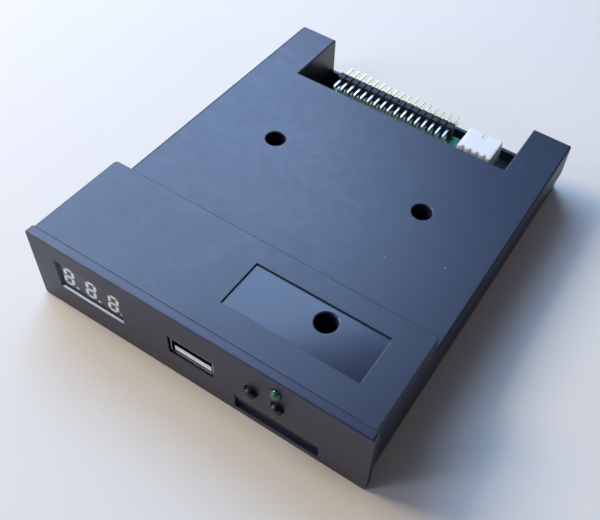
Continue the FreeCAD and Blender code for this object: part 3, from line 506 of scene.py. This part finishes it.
def plated_metal(
    name, colour, tarnish, roughness, grain=0.25 * MM, brushed=(1, 1, 1), tail=None, bare=1.0
):
    """Plated sheet or wire: bright, with drawing lines and a cloudy tarnish.

    Brushed says how much closer the lines lie along each axis than the grain's width. A tail is
    a second plating, of the given colour, forwards of the given place along y. The less is bare,
    the more a pale oxide scatters the light, as on soft solder.
    """
    material, tree, place = new_material(name)
    cloudy = add_node(tree, "ShaderNodeTexNoise", vector=place, scale=1 / (2.5 * MM), detail=4.0)
    # Real drawing lines are some 0.03 mm apart, so the grain is drawn as coarse as shows.
    drawn_out = add_node(
        tree, "ShaderNodeMapping", vector=place, scale=[closer / grain for closer in brushed]
    )
    lines = add_node(tree, "ShaderNodeTexNoise", vector=drawn_out, scale=1.0, detail=2.0)
    share = add_node(tree, "ShaderNodeMapRange", value=cloudy, from_min=0.35, from_max=0.75)
    plated = add_node(
        tree, "ShaderNodeMix", COLOUR_MIX, factor=share, a=linear(colour), b=linear(tarnish)
    )
    if tail is not None:
        tail_colour, tail_y = tail
        along = add_node(tree, "ShaderNodeSeparateXYZ", vector=place).outputs["Y"]
        ahead = add_node(tree, "ShaderNodeMath", {"operation": "LESS_THAN"}, _0=along, _1=tail_y)
        plated = add_node(
            tree, "ShaderNodeMix", COLOUR_MIX, factor=ahead, a=plated, b=linear(tail_colour)
        )
    rough = add_node(
        tree,
        "ShaderNodeMapRange",
        value=lines,
        to_min=roughness - 0.06,
        to_max=roughness + 0.1,
        **FROM_NOISE,
    )
    relief = add_node(tree, "ShaderNodeBump", height=lines, distance=0.004 * MM, strength=0.5)
    return shaded(material, base_color=plated, roughness=rough, metallic=bare, normal=relief)


def tin_solder(name):
    """Tin solder as it froze: pale and half bright, with a coarser grain than a plating."""
    return plated_metal(name, "#e9eae9", "#d6d7d5", 0.38, grain=0.4 * MM, bare=0.55)


# --- Materials: boards and parts -----------------------------------------------------------------


def solder_mask(name):
    """Green solder mask over copper on glass-epoxy: glossy lacquer, with the tracks under it
    showing as lighter raised lines and the weave as a faint ripple."""
    material, tree, place = new_material(name)
    half_pitch = 1.27 * MM / 2
    half_track = 0.2 * MM
    # The tracks run along x in some blocks of the board and along y in the others.
    blocks = add_node(
        tree,
        "ShaderNodeTexVoronoi",
        {"feature": "F1", "distance": "CHEBYCHEV"},
        vector=place,
        scale=1 / (6 * MM),
    ).outputs["Color"]
    picked = add_node(tree, "ShaderNodeSeparateColor", color=blocks).outputs["Green"]
    chosen = add_node(tree, "ShaderNodeMath", {"operation": "GREATER_THAN"}, _0=picked, _1=0.5)
    parts = add_node(tree, "ShaderNodeSeparateXYZ", vector=place).outputs
    across, along = (
        add_node(tree, "ShaderNodeMath", {"operation": "PINGPONG"}, _0=parts[axis], _1=half_pitch)
        for axis in ("X", "Y")
    )
    from_track = add_node(tree, "ShaderNodeMix", factor=chosen, a=across, b=along)
    track = add_node(
        tree,
        "ShaderNodeMapRange",
        value=from_track,
        from_min=half_track - 0.04 * MM,
        from_max=half_track,
        to_min=1.0,
        to_max=0.0,
    )
    weave = add_node(tree, "ShaderNodeTexNoise", vector=place, scale=1 / (0.6 * MM), detail=1.0)
    cloudy = add_node(tree, "ShaderNodeTexNoise", vector=place, scale=1 / (8 * MM), detail=2.0)
    cloud_share = add_node(tree, "ShaderNodeMapRange", value=cloudy, **FROM_NOISE)
    track_share = add_node(tree, "ShaderNodeMath", {"operation": "MULTIPLY"}, _0=track, _1=0.7)
    green = linear("#177a66")
    for share, lighter in ((cloud_share, "#1e8e76"), (track_share, "#3aa88c")):
        green = add_node(
            tree, "ShaderNodeMix", COLOUR_MIX, factor=share, a=green, b=linear(lighter)
        )
    rough = add_node(
        tree, "ShaderNodeMapRange", value=cloudy, to_min=0.28, to_max=0.4, **FROM_NOISE
    )
    raised = add_node(tree, "ShaderNodeMath", {"operation": "MULTIPLY"}, _0=track, _1=0.5)
    height = add_node(tree, "ShaderNodeMath", {"operation": "ADD"}, _0=raised, _1=weave)
    relief = add_node(tree, "ShaderNodeBump", height=height, distance=0.03 * MM, strength=0.5)
    return shaded(
        material,
        base_color=green,
        roughness=rough,
        ior=1.5,
        coat_weight=0.5,
        coat_roughness=0.12,
        normal=relief,
    )


def moulded_epoxy(name):
    """Black filled epoxy of a chip package: matt, with the filler's fine sparkle."""
    material, tree, place = new_material(name)
    # The filler's real grains are some 0.04 mm wide, too fine to show, and are drawn coarser.
    filler = add_node(tree, "ShaderNodeTexNoise", vector=place, scale=1 / (0.12 * MM), detail=2.0)
    cloudy = add_node(tree, "ShaderNodeTexNoise", vector=place, scale=1 / (2 * MM), detail=3.0)
    share = add_node(tree, "ShaderNodeMapRange", value=cloudy, **FROM_NOISE)
    black = add_node(
        tree, "ShaderNodeMix", COLOUR_MIX, factor=share, a=linear("#1c1c1f"), b=linear("#27272b")
    )
    rough = add_node(
        tree, "ShaderNodeMapRange", value=filler, to_min=0.48, to_max=0.66, **FROM_NOISE
    )
    relief = add_node(tree, "ShaderNodeBump", height=filler, distance=0.01 * MM, strength=0.6)
    return shaded(material, base_color=black, roughness=rough, ior=1.55, normal=relief)


def capped_chip(name, painted_shade_colour, node):
    """Small surface-mount part: a fired ceramic body with a tinned cap at both ends."""
    material, tree, place = new_material(name)
    cap_length = 0.4 * MM
    cap_start = size_of(node).y / 2 - cap_length
    along = add_node(tree, "ShaderNodeSeparateXYZ", vector=place).outputs["Y"]
    offset = add_node(
        tree, "ShaderNodeMath", {"operation": "SUBTRACT"}, _0=along, _1=middle(node).y
    )
    away = add_node(tree, "ShaderNodeMath", {"operation": "ABSOLUTE"}, _0=offset)
    cap = add_node(tree, "ShaderNodeMath", {"operation": "GREATER_THAN"}, _0=away, _1=cap_start)
    grain = add_node(tree, "ShaderNodeTexNoise", vector=place, scale=1 / (0.2 * MM), detail=2.0)
    speckled = add_node(tree, "ShaderNodeMapRange", value=grain, to_max=0.4, **FROM_NOISE)
    fired = linear(painted_shade_colour)
    for share, other in ((speckled, "#8c7a63"), (cap, "#c9c8c2")):
        fired = add_node(tree, "ShaderNodeMix", COLOUR_MIX, factor=share, a=fired, b=linear(other))
    rough = add_node(
        tree, "ShaderNodeMapRange", value=grain, to_min=0.3, to_max=0.45, **FROM_NOISE
    )
    relief = add_node(tree, "ShaderNodeBump", height=grain, distance=0.01 * MM, strength=0.5)
    return shaded(
        material, base_color=fired, roughness=rough, metallic=cap, ior=1.5, normal=relief
    )


# --- Shape helpers -------------------------------------------------------------------------------


def push(bm, face, step, scale=1.0):
    """Extrudes one face by a step, scales its end about its middle and gives that end back."""
    made = bmesh.ops.extrude_face_region(bm, geom=[face])["geom"]
    end = next(f for f in made if isinstance(f, bmesh.types.BMFace))
    bmesh.ops.translate(bm, vec=step, verts=end.verts)
    if scale != 1.0:
        centre = end.calc_center_median()
        bmesh.ops.scale(
            bm, vec=(scale, scale, scale), space=Matrix.Translation(-centre), verts=end.verts
        )
    return end


def bent_pin(bm, tip, size, bend_y, foot_z):
    """One square pin: a pointed run forwards from its tip, a round bend and a pointed leg."""
    point = size * 0.6
    radius = size * 1.1
    blunt = 0.45
    before = set(bm.verts)
    start = bmesh.ops.create_grid(bm, x_segments=1, y_segments=1, size=size / 2 * blunt)
    upright = Matrix.Rotation(QUARTER_TURN, 3, "X")
    bmesh.ops.rotate(bm, cent=(0, 0, 0), matrix=upright, verts=start["verts"])
    bmesh.ops.translate(bm, vec=tip, verts=start["verts"])
    face = start["verts"][0].link_faces[0]
    face = push(bm, face, Vector((0, -point, 0)), 1 / blunt)
    straight = tip.y - point - (bend_y + radius)
    face = push(bm, face, Vector((0, -straight, 0)))
    turned = bmesh.ops.spin(
        bm,
        geom=[face],
        cent=(tip.x, bend_y + radius, tip.z - radius),
        axis=(1, 0, 0),
        angle=QUARTER_TURN,
        steps=4,
        use_duplicate=False,
    )
    face = next(f for f in turned["geom_last"] if isinstance(f, bmesh.types.BMFace))
    drop = (tip.z - radius) - (foot_z + point)
    face = push(bm, face, Vector((0, 0, -drop)))
    push(bm, face, Vector((0, 0, -point)), blunt)
    return [v for v in bm.verts if v not in before]


def solder_fillet(bm, place, radius, pin, height, side):
    """Concave solder cone round a pin, rising from the board on the given side."""
    before = set(bm.verts)
    ring = bmesh.ops.create_circle(bm, cap_ends=True, segments=12, radius=radius)
    face = ring["verts"][0].link_faces[0]
    bmesh.ops.translate(bm, vec=place, verts=ring["verts"])
    # Each step takes its share of the height and narrows the cone, down to the pin.
    width = radius
    for share, narrowing in ((0.15, 0.72), (0.35, 0.78)):
        face = push(bm, face, UP * side * height * share, narrowing)
        width *= narrowing
    push(bm, face, UP * side * height * 0.5, pin / width)
    return [v for v in bm.verts if v not in before]


def repeated(bm, verts, offsets):
    """Copies of a piece at each offset from it."""
    faces = dict.fromkeys(f for v in verts for f in v.link_faces)
    edges = dict.fromkeys(e for v in verts for e in v.link_edges)
    for offset in offsets:
        copy = bmesh.ops.duplicate(bm, geom=[*verts, *edges, *faces])
        moved = [g for g in copy["geom"] if isinstance(g, bmesh.types.BMVert)]
        bmesh.ops.translate(bm, vec=offset, verts=moved)


def soldered_pins(rows, pitch, count, foot_z):
    """Rows of bent pins, and the solder round them on both sides of the main board.

    A row is the tip of its leftmost pin and the place along y where its legs go down.
    """
    wanted = settings("baydrive_connectors")
    board_low, board_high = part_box("main_board")
    # Solder stands higher under the board, where the iron and the wire were.
    fillets = ((board_high.z, 1, 0.5 * MM), (board_low.z, -1, 1.0 * MM))
    offsets = [Vector((pitch * i, 0, 0)) for i in range(1, count)]
    pins = bmesh.new()
    joints = bmesh.new()
    # A fillet closes in round the square pin, between its sides and its corners.
    pin_radius = wanted.pin_size * 0.62
    for tip, bend_y in rows:
        pin = bent_pin(pins, tip, wanted.pin_size, bend_y, foot_z)
        repeated(pins, pin, offsets)
        for z, side, height in fillets:
            place = Vector((tip.x, bend_y, z))
            cone = solder_fillet(joints, place, wanted.solder_radius, pin_radius, height, side)
            repeated(joints, cone, offsets)
    for bm in (pins, joints):
        bmesh.ops.recalc_face_normals(bm, faces=bm.faces)
    return pins, joints


# --- Operators: the housing and controls ---------------------------------------------------------


class BAYDRIVE_OT_housing(bpy.types.Operator):
    """Finish the cover, the tray and the bezel as moulded black ABS"""

    bl_idname = "baydrive.housing"
    bl_label = "Housing"

    def execute(self, context):
        wanted = settings("baydrive_housing")
        cover_low, cover_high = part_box("top_cover")
        bezel_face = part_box("front_bezel")[0].y
        bezel_middle = middle("front_bezel")
        bezel_size = size_of("front_bezel")
        display = middle("display_body")

        # A skin is how far a zone reaches to either side of the surface that it changes.
        # The mould is polished in the label recess.
        recess_left = 1.8 * MM
        recess_width = 39.0 * MM
        recess_start = 10.3 * MM
        recess_depth = 14.4 * MM
        recess_sink = 0.5 * MM
        recess_skin = 0.1 * MM
        recess = Zone(
            centre=Vector(
                (
                    recess_left + recess_width / 2,
                    bezel_face + recess_start + recess_depth / 2,
                    cover_high.z - recess_sink,
                )
            ),
            half=Vector((recess_width / 2, recess_depth / 2, recess_skin)),
            roughness=wanted.polished,
            pit_depth=0.06,
            gloss=0.42,
        )
        # It is left rougher outside the side walls, up to a rim under the top, and in the tray.
        side_skin = 0.6 * MM
        rim = 0.4 * MM
        half_height = cover_high.z / 2
        sides = [
            Zone(
                centre=Vector((side * cover_high.x, 0, half_height)),
                half=Vector((side_skin, cover_high.y - cover_low.y, half_height - rim)),
                roughness=wanted.satin + 0.06,
                pit_depth=0.7,
                gloss=0.16,
            )
            for side in (-1, 1)
        ]
        wall = 1.9 * MM
        hollow = Zone(
            centre=middle("bottom_tray") + UP * wall,
            half=size_of("bottom_tray") / 2 - Vector((wall, 2 * wall, 0)),
            roughness=0.6,
            pit_depth=0.7,
            gloss=0.12,
        )
        # The bezel's face is eroded deeper than its edges, and dulls what it mirrors.
        face_skin = 0.02 * MM
        face = Zone(
            centre=Vector((bezel_middle.x, bezel_face, bezel_middle.z)),
            half=Vector((bezel_size.x, face_skin, bezel_size.z)),
            roughness=0.42,
            pit_depth=0.7,
            gloss=0.4,
        )
        # The bevel round the display's window is polished.
        bevel_depth = 0.75 * MM
        bevel_width = 22.4 * MM
        bevel_height = 12.0 * MM
        bevel = Zone(
            centre=Vector((display.x, bezel_face + face_skin + bevel_depth / 2, display.z)),
            half=Vector((bevel_width / 2, bevel_depth / 2, bevel_height / 2)),
            roughness=0.12,
            pit_depth=0.05,
            gloss=0.5,
        )
        for node, name, colour, zones in (
            ("top_cover", "black_abs_satin_cover", wanted.plastic, [recess, *sides]),
            ("bottom_tray", "black_abs_satin_tray", wanted.plastic, [hollow, *sides]),
            ("front_bezel", "black_abs_fine_bezel", wanted.bezel_plastic, [face, bevel]),
        ):
            dress(node, moulded_abs(name, colour, wanted.satin, wanted.grain, zones))
        return {"FINISHED"}


class BAYDRIVE_OT_buttons(bpy.types.Operator):
    """Finish the two buttons, their switches and brackets"""

    bl_idname = "baydrive.buttons"
    bl_label = "Buttons and switches"

    def execute(self, context):
        # Smooth acetal caps: they catch a soft glint that the dull bezel doesn't.
        cap = smooth_plastic("black_acetal_cap", "#14151c", "#1a1b23", 0.36)
        case = smooth_plastic("black_nylon_switch", "#19191b", "#222225", 0.5)
        for side in ("left", "right"):
            dress("button_cap_" + side, cap)
            dress("switch_plunger_" + side, case)
            dress("switch_body_" + side, case)
        steel = plated_metal("tinned_bracket_steel", "#b9bab8", "#9c9c98", 0.32)
        dress("switch_brackets", steel)
        return {"FINISHED"}


class BAYDRIVE_OT_status_led(bpy.types.Operator):
    """Finish the green status LED and put the lead frame inside its epoxy"""

    bl_idname = "baydrive.status_led"
    bl_label = "Status LED"

    def execute(self, context):
        dress("status_led", tinted_epoxy("green_tinted_epoxy", "#045238", "#06714b"))
        leads = plated_metal("tinned_lead_steel", "#c6c6c2", "#a4a49e", 0.28)
        dress("led_legs", leads)
        low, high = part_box("status_led")
        centre = middle("status_led")
        thickness = 0.5 * MM
        apart = 0.9 * MM
        front = low.y + 1.6 * MM
        back = high.y - 0.3 * MM
        bm = bmesh.new()
        # The broad post carries the chip, and the slim one starts a little behind its front.
        for side, behind, width in ((-1, 0.0, 1.0 * MM), (1, 0.5 * MM, 0.6 * MM)):
            post = bmesh.ops.create_cube(bm, size=1.0)["verts"]
            start = front + behind
            length = back - start
            place = (centre.x + side * apart / 2, start + length / 2, centre.z)
            bmesh.ops.scale(bm, vec=(width, length, thickness), verts=post)
            bmesh.ops.translate(bm, vec=place, verts=post)
            bmesh.ops.bevel(
                bm,
                geom=list(dict.fromkeys(e for v in post for e in v.link_edges)),
                offset=0.08 * MM,
                offset_type="OFFSET",
                affect="EDGES",
                segments=2,
                profile=0.5,
                material=-1,
            )
        bmesh.ops.recalc_face_normals(bm, faces=bm.faces)
        finished(bm, "led_lead_frame", leads, "drive")
        return {"FINISHED"}


class BAYDRIVE_OT_display(bpy.types.Operator):
    """Finish the digit display, its board and its lead"""

    bl_idname = "baydrive.display"
    bl_label = "Digit display"

    def execute(self, context):
        # Printed black face of the display, glossier than the bezel round it.
        face = smooth_plastic("black_printed_face", "#29242e", "#322d36", 0.3)
        dress("display_body", face)
        # Milky potting epoxy of the unlit segments.
        milky = smooth_plastic("milky_potting_epoxy", "#f3fbfa", "#e9f3f1", 0.24, subsurface=0.1)
        dress("display_segments", milky)
        dress("display_pins", plated_metal("tinned_display_pin", "#c6c6c2", "#a4a49e", 0.3))
        dress("display_board", solder_mask("green_mask_display_board"))
        dress("display_driver", moulded_epoxy("black_chip_epoxy_driver"))
        lead = plated_metal("tinned_driver_lead", "#bfc0bd", "#a3a39f", 0.3)
        dress("display_driver_leads", lead)
        nylon = smooth_plastic("white_nylon_plug", "#ece9df", "#e2ddd0", 0.4, subsurface=0.1)
        dress("display_socket", nylon)
        dress("display_plug", nylon)
        # Extruded PVC sleeve, with the slow waviness of drawn wire.
        dress("display_wires", smooth_plastic("grey_pvc_sleeve", "#8e9196", "#7f8288", 0.45))
        return {"FINISHED"}


# --- Operators: connectors -----------------------------------------------------------------------


class BAYDRIVE_OT_usb_socket(bpy.types.Operator):
    """Finish the USB socket and add the leaf springs that are pressed out of its shell"""

    bl_idname = "baydrive.usb_socket"
    bl_label = "USB socket"

    def execute(self, context):
        nickel = plated_metal("nickel_plated_shell", "#c3c5ca", "#a8aaae", 0.24)
        dress("usb_shell", nickel)
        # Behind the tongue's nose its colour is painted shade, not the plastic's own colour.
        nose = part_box("usb_tongue")[0].y + 0.12 * MM
        dress("usb_tongue", tongue_with_painted_shade("white_tongue_painted_shade", "#fdfdfc", "#17181c", nose))
        dress("usb_contacts", plated_metal("gold_flashed_contact", "#d9b45f", "#b98f43", 0.24))
        low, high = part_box("usb_shell")
        width = 2.2 * MM
        apart = 5.6 * MM
        front = low.y + 1.2 * MM
        length = 5.3 * MM
        drop = 0.75 * MM
        swing = math.radians(150)
        # The springs start just under the shell's metal, which is 0.3 mm thick.
        top = high.z - 0.33 * MM
        bm = bmesh.new()
        for side in (-1, 1):
            strip = bmesh.ops.create_grid(bm, x_segments=2, y_segments=10, size=0.5)["verts"]
            place = (middle("usb_shell").x + side * apart / 2, front + length / 2, 0)
            bmesh.ops.scale(bm, vec=(width, length, 1), verts=strip)
            bmesh.ops.translate(bm, vec=place, verts=strip)
            for v in strip:
                along = min(1.0, max(0.0, 1 - (v.co.y - front) / length))
                # Hangs from the back, lowest at three quarters, with its front lip turned up.
                v.co.z = top - drop * math.sin(along * swing) * math.sqrt(along)
        bmesh.ops.recalc_face_normals(bm, faces=bm.faces)
        springs = finished(bm, "usb_shell_springs", nickel, "drive")
        plate = springs.modifiers.new("sheet", "SOLIDIFY")
        plate.thickness = 0.22 * MM
        plate.offset = 1.0
        return {"FINISHED"}


class BAYDRIVE_OT_floppy_header(bpy.types.Operator):
    """Replace the header's pins with bent, pointed ones and solder them to the board"""

    bl_idname = "baydrive.floppy_header"
    bl_label = "Floppy header"

    def execute(self, context):
        wanted = settings("baydrive_connectors")
        # Glass-filled polyester: near black, with a greyer dry skin than the ABS.
        dress("header_body", smooth_plastic("black_filled_polyester", "#151318", "#211e25", 0.52))
        # Gold where the plug goes on, bright tin on the tails that are soldered.
        tail = ("#e6e7e6", middle("header_body").y)
        gold = plated_metal("gold_and_tin_pin", "#ecdcb2", "#dac48c", 0.38, tail=tail)
        solder = tin_solder("bright_tin_solder")
        low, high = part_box("header_pins")
        half = wanted.pin_size / 2
        # The lower row bends down one pitch nearer to the plug than the upper one.
        rows = [
            (Vector((low.x + half, high.y, high.z - half - inset)), low.y + half + inset)
            for inset in (wanted.pin_pitch, 0.0)
        ]
        shapes, joints = soldered_pins(rows, wanted.pin_pitch, wanted.header_columns, low.z)
        pins = finished(shapes, "header_pin_set", gold, "drive")
        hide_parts("header_pins")
        finished(joints, "header_solder", solder, "drive")
        return {"FINISHED"}


class BAYDRIVE_OT_power_socket(bpy.types.Operator):
    """Replace the power socket's pins with bent, pointed ones and solder them to the board"""

    bl_idname = "baydrive.power_socket"
    bl_label = "Power socket"

    def execute(self, context):
        wanted = settings("baydrive_connectors")
        # Natural nylon: warm white, a little translucent at its thin walls.
        nylon = smooth_plastic("natural_nylon_socket", "#fbfaf6", "#f6f4ee", 0.38, subsurface=0.8)
        dress("power_body", nylon)
        tin = plated_metal("tinned_power_pin", "#e4e5e3", "#cfd0cd", 0.32, bare=0.7)
        solder = tin_solder("bright_tin_solder_power")
        low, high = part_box("power_pins")
        half = wanted.pin_size / 2
        row = (Vector((low.x + half, high.y, high.z - half)), low.y + half)
        count = round((high.x - low.x - wanted.pin_size) / wanted.power_pitch) + 1
        shapes, joints = soldered_pins([row], wanted.power_pitch, count, low.z)
        pins = finished(shapes, "power_pin_set", tin, "drive")
        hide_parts("power_pins")
        finished(joints, "power_solder", solder, "drive")
        return {"FINISHED"}


# --- Operators: what is inside -------------------------------------------------------------------


class BAYDRIVE_OT_electronics(bpy.types.Operator):
    """Finish the main board, its chips and its small parts"""

    bl_idname = "baydrive.electronics"
    bl_label = "Main board"

    def execute(self, context):
        dress("main_board", solder_mask("green_mask_main_board"))
        epoxy = moulded_epoxy("black_chip_epoxy")
        lead = plated_metal("tinned_chip_lead", "#bfc0bd", "#a3a39f", 0.3)
        for chip in ("microcontroller", "line_drivers", "regulator"):
            dress(chip, epoxy)
        for leads in ("microcontroller_leads", "line_driver_leads", "regulator_leads"):
            dress(leads, lead)
        # Drawn steel can with a bright nickel plate.
        dress("crystal", plated_metal("nickel_plated_can", "#c9c7c1", "#aeaba2", 0.26))
        # Rolled aluminium, brushed round the can.
        can = plated_metal("bare_aluminium_can", "#d2d3d4", "#bcbdbe", 0.3, brushed=(1, 1, 6))
        dress("capacitor_cans", can)
        base = smooth_plastic("black_capacitor_base", "#1d1d1f", "#262628", 0.5)
        dress("capacitor_bases", base)
        for chips, name, colour in (
            ("resistors", "resistor_ceramic", "#17171a"),
            ("ceramic_capacitors", "capacitor_ceramic", "#a38d6c"),
        ):
            dress(chips, capped_chip(name, colour, chips))
        black = smooth_plastic("black_select_nylon", "#1c1c1e", "#26262a", 0.45)
        dress("select_header", black)
        dress("select_jumper", black)
        dress("select_pins", plated_metal("gold_select_pin", "#d8c08a", "#c4a35e", 0.22))
        return {"FINISHED"}


class BAYDRIVE_OT_screws(bpy.types.Operator):
    """Finish the screws"""

    bl_idname = "baydrive.screws"
    bl_label = "Screws"

    def execute(self, context):
        # Black-oxide steel in the cover's wells, bright zinc on the boards.
        dress("cover_screws", plated_metal("black_oxide_screw", "#17171a", "#26262a", 0.45))
        zinc = plated_metal("zinc_plated_screw", "#b7b9bb", "#9b9c9a", 0.3)
        dress("board_screws", zinc)
        dress("display_screws", zinc)
        return {"FINISHED"}


# --- Operators: camera and studio ----------------------------------------------------------------


class BAYDRIVE_OT_camera(bpy.types.Operator):
    """Set up the camera above and to the right of the bezel"""

    bl_idname = "baydrive.camera"
    bl_label = "Camera"

    def execute(self, context):
        wanted = settings("baydrive_studio")
        data = bpy.data.cameras.new("camera")
        data.sensor_width = 36.0
        data.lens = wanted.lens
        data.shift_x = wanted.shift_x
        data.shift_y = wanted.shift_y
        data.clip_start = 0.01
        data.clip_end = 20.0
        camera = bpy.data.objects.new("camera", data)
        camera.location = wanted.camera_place
        camera.rotation_euler = wanted.camera_turn
        context.scene.collection.objects.link(camera)
        context.scene.camera = camera
        return {"FINISHED"}


def studio_floor(name, colour, patches, backdrop, fade_start, fade_end):
    """Painted floor, matt and a little patchy. Far out the sweep is seen as an even pale
    backdrop, whatever light falls on it there, and it still lights the drive as paint does."""
    material, tree, place = new_material(name)
    cloudy = add_node(tree, "ShaderNodeTexNoise", vector=place, scale=1 / 0.25, detail=3.0)
    share = add_node(tree, "ShaderNodeMapRange", value=cloudy, **FROM_NOISE)
    painted = add_node(
        tree, "ShaderNodeMix", COLOUR_MIX, factor=share, a=linear(colour), b=linear(patches)
    )
    rays = add_node(tree, "ShaderNodeLightPath").outputs
    seen = rays["Is Camera Ray"]
    for ray in ("Is Glossy Ray", "Is Transmission Ray"):
        seen = add_node(tree, "ShaderNodeMath", {"operation": "MAXIMUM"}, _0=seen, _1=rays[ray])
    away = add_node(tree, "ShaderNodeVectorMath", {"operation": "LENGTH"}, _0=place)
    far = add_node(tree, "ShaderNodeMapRange", value=away, from_min=fade_start, from_max=fade_end)
    faded = add_node(tree, "ShaderNodeMath", {"operation": "MULTIPLY"}, _0=seen, _1=far)
    unlit = add_node(
        tree, "ShaderNodeMix", COLOUR_MIX, factor=faded, a=painted, b=linear("#000000")
    )
    return shaded(
        material,
        base_color=unlit,
        roughness=0.85,
        emission_color=linear(backdrop),
        emission_strength=faded,
    )


def sweep(name, radius, curve, wall_height):
    """A flat round floor that curves up into a low wall all round."""
    steps = 8
    # The inner rings keep the flat part's faces small near the drive.
    profile = [(0.0, 0.0), (0.25, 0.0), (0.7, 0.0)]
    for step in range(steps + 1):
        turn = QUARTER_TURN * step / steps
        out = radius - curve + curve * math.sin(turn)
        profile.append((out, curve - curve * math.cos(turn)))
    profile.append((radius, wall_height))
    bm = bmesh.new()
    verts = [bm.verts.new((out, 0, up)) for out, up in profile]
    edges = [bm.edges.new(pair) for pair in zip(verts, verts[1:])]
    bmesh.ops.spin(
        bm,
        geom=verts + edges,
        cent=(0, 0, 0),
        axis=(0, 0, 1),
        angle=math.tau,
        steps=64,
        use_merge=True,
    )
    bmesh.ops.remove_doubles(bm, verts=bm.verts, dist=1e-6)
    bmesh.ops.recalc_face_normals(bm, faces=bm.faces)
    # The sweep is open above, so its normals may have come out pointing down.
    bm.normal_update()
    if sum(face.normal.z * face.calc_area() for face in bm.faces) < 0:
        bmesh.ops.reverse_faces(bm, faces=bm.faces)
    mesh = bpy.data.meshes.new(name)
    bm.to_mesh(mesh)
    bm.free()
    floor = bpy.data.objects.new(name, mesh)
    bpy.context.scene.collection.objects.link(floor)
    return floor


def softbox(name, place, size, watts, colour):
    """A rectangular area lamp at a place, turned to face the drive."""
    data = bpy.data.lights.new(name, "AREA")
    data.shape = "RECTANGLE"
    data.size, data.size_y = size
    data.energy = watts
    data.color = linear(colour)[:3]
    lamp = bpy.data.objects.new(name, data)
    lamp.location = place
    aim = Vector((0, 0, 0.01))
    lamp.rotation_euler = (aim - Vector(place)).to_track_quat("-Z", "Y").to_euler()
    bpy.context.scene.collection.objects.link(lamp)


class BAYDRIVE_OT_stage(bpy.types.Operator):
    """Lay the floor and set the studio lights"""

    bl_idname = "baydrive.stage"
    bl_label = "Floor and lights"

    def execute(self, context):
        wanted = settings("baydrive_studio")
        paint = studio_floor(
            "painted_studio_floor",
            wanted.floor,
            "#ebe6d8",
            wanted.backdrop,
            wanted.fade_start,
            wanted.fade_end,
        )
        floor = sweep("floor", radius=1.6, curve=0.35, wall_height=0.45)
        floor.data.materials.append(paint)

        # The broad cool one is what the top faces mirror, brightest towards the left, and the
        # dim one beside it keeps their right-hand part blue. The small one glints on edges.
        for name, place, size, watts, colour in (
            ("window_softbox", (-0.56, 0.42, 0.72), (0.8, 0.6), 10.4, "#a9ccff"),
            ("sky_softbox", (0.02, 0.72, 0.72), (0.7, 0.6), 1.1, "#7fb0ff"),
            ("key_softbox", (-0.83, -0.13, 0.72), (0.4, 0.4), 8.0, "#fff0de"),
            ("glint_softbox", (-0.58, -0.62, 0.73), (0.17, 0.17), 0.95, "#eef4ff"),
            ("front_softbox", (-0.64, -0.82, 0.37), (0.4, 0.3), 2.9, "#b9ccff"),
        ):
            softbox(name, place, size, watts, colour)

        world = bpy.data.worlds.new("studio")
        world.use_nodes = True
        sky = world.node_tree
        sky.nodes.clear()
        glow = add_node(sky, "ShaderNodeBackground", color=linear("#e6c8aa"), strength=0.085)
        add_node(sky, "ShaderNodeOutputWorld", surface=glow)
        context.scene.world = world
        context.scene.view_settings.view_transform = "Standard"
        return {"FINISHED"}


# --- Panel and registration ----------------------------------------------------------------------


PIECES = (
    BAYDRIVE_OT_camera,
    BAYDRIVE_OT_housing,
    BAYDRIVE_OT_buttons,
    BAYDRIVE_OT_status_led,
    BAYDRIVE_OT_display,
    BAYDRIVE_OT_usb_socket,
    BAYDRIVE_OT_floppy_header,
    BAYDRIVE_OT_power_socket,
    BAYDRIVE_OT_electronics,
    BAYDRIVE_OT_screws,
    BAYDRIVE_OT_stage,
)
GROUPS = {
    "baydrive_housing": HousingSettings,
    "baydrive_connectors": ConnectorSettings,
    "baydrive_studio": StudioSettings,
}


class BAYDRIVE_PT_panel(bpy.types.Panel):
    """Lists every step of the drive's finishes"""

    bl_idname = "BAYDRIVE_PT_panel"
    bl_label = "Bay drive"
    bl_space_type = "VIEW_3D"
    bl_region_type = "UI"
    bl_category = "Bay drive"

    def draw(self, context):
        column = self.layout.column()
        for group in GROUPS:
            values = getattr(context.scene, group)
            for name in values.__annotations__:
                column.prop(values, name)
        for piece in PIECES:
            column.operator(piece.bl_idname)


def register():
    for name, group in GROUPS.items():
        bpy.utils.register_class(group)
        setattr(bpy.types.Scene, name, PointerProperty(type=group))
    for piece in PIECES:
        bpy.utils.register_class(piece)
    bpy.utils.register_class(BAYDRIVE_PT_panel)


def unregister():
    bpy.utils.unregister_class(BAYDRIVE_PT_panel)
    for piece in reversed(PIECES):
        bpy.utils.unregister_class(piece)
    for name, group in GROUPS.items():
        delattr(bpy.types.Scene, name)
        bpy.utils.unregister_class(group)


def main():
    register()
    for piece in PIECES:
        family, step = piece.bl_idname.split(".")
        getattr(getattr(bpy.ops, family), step)()


if __name__ == "__main__":
    main()
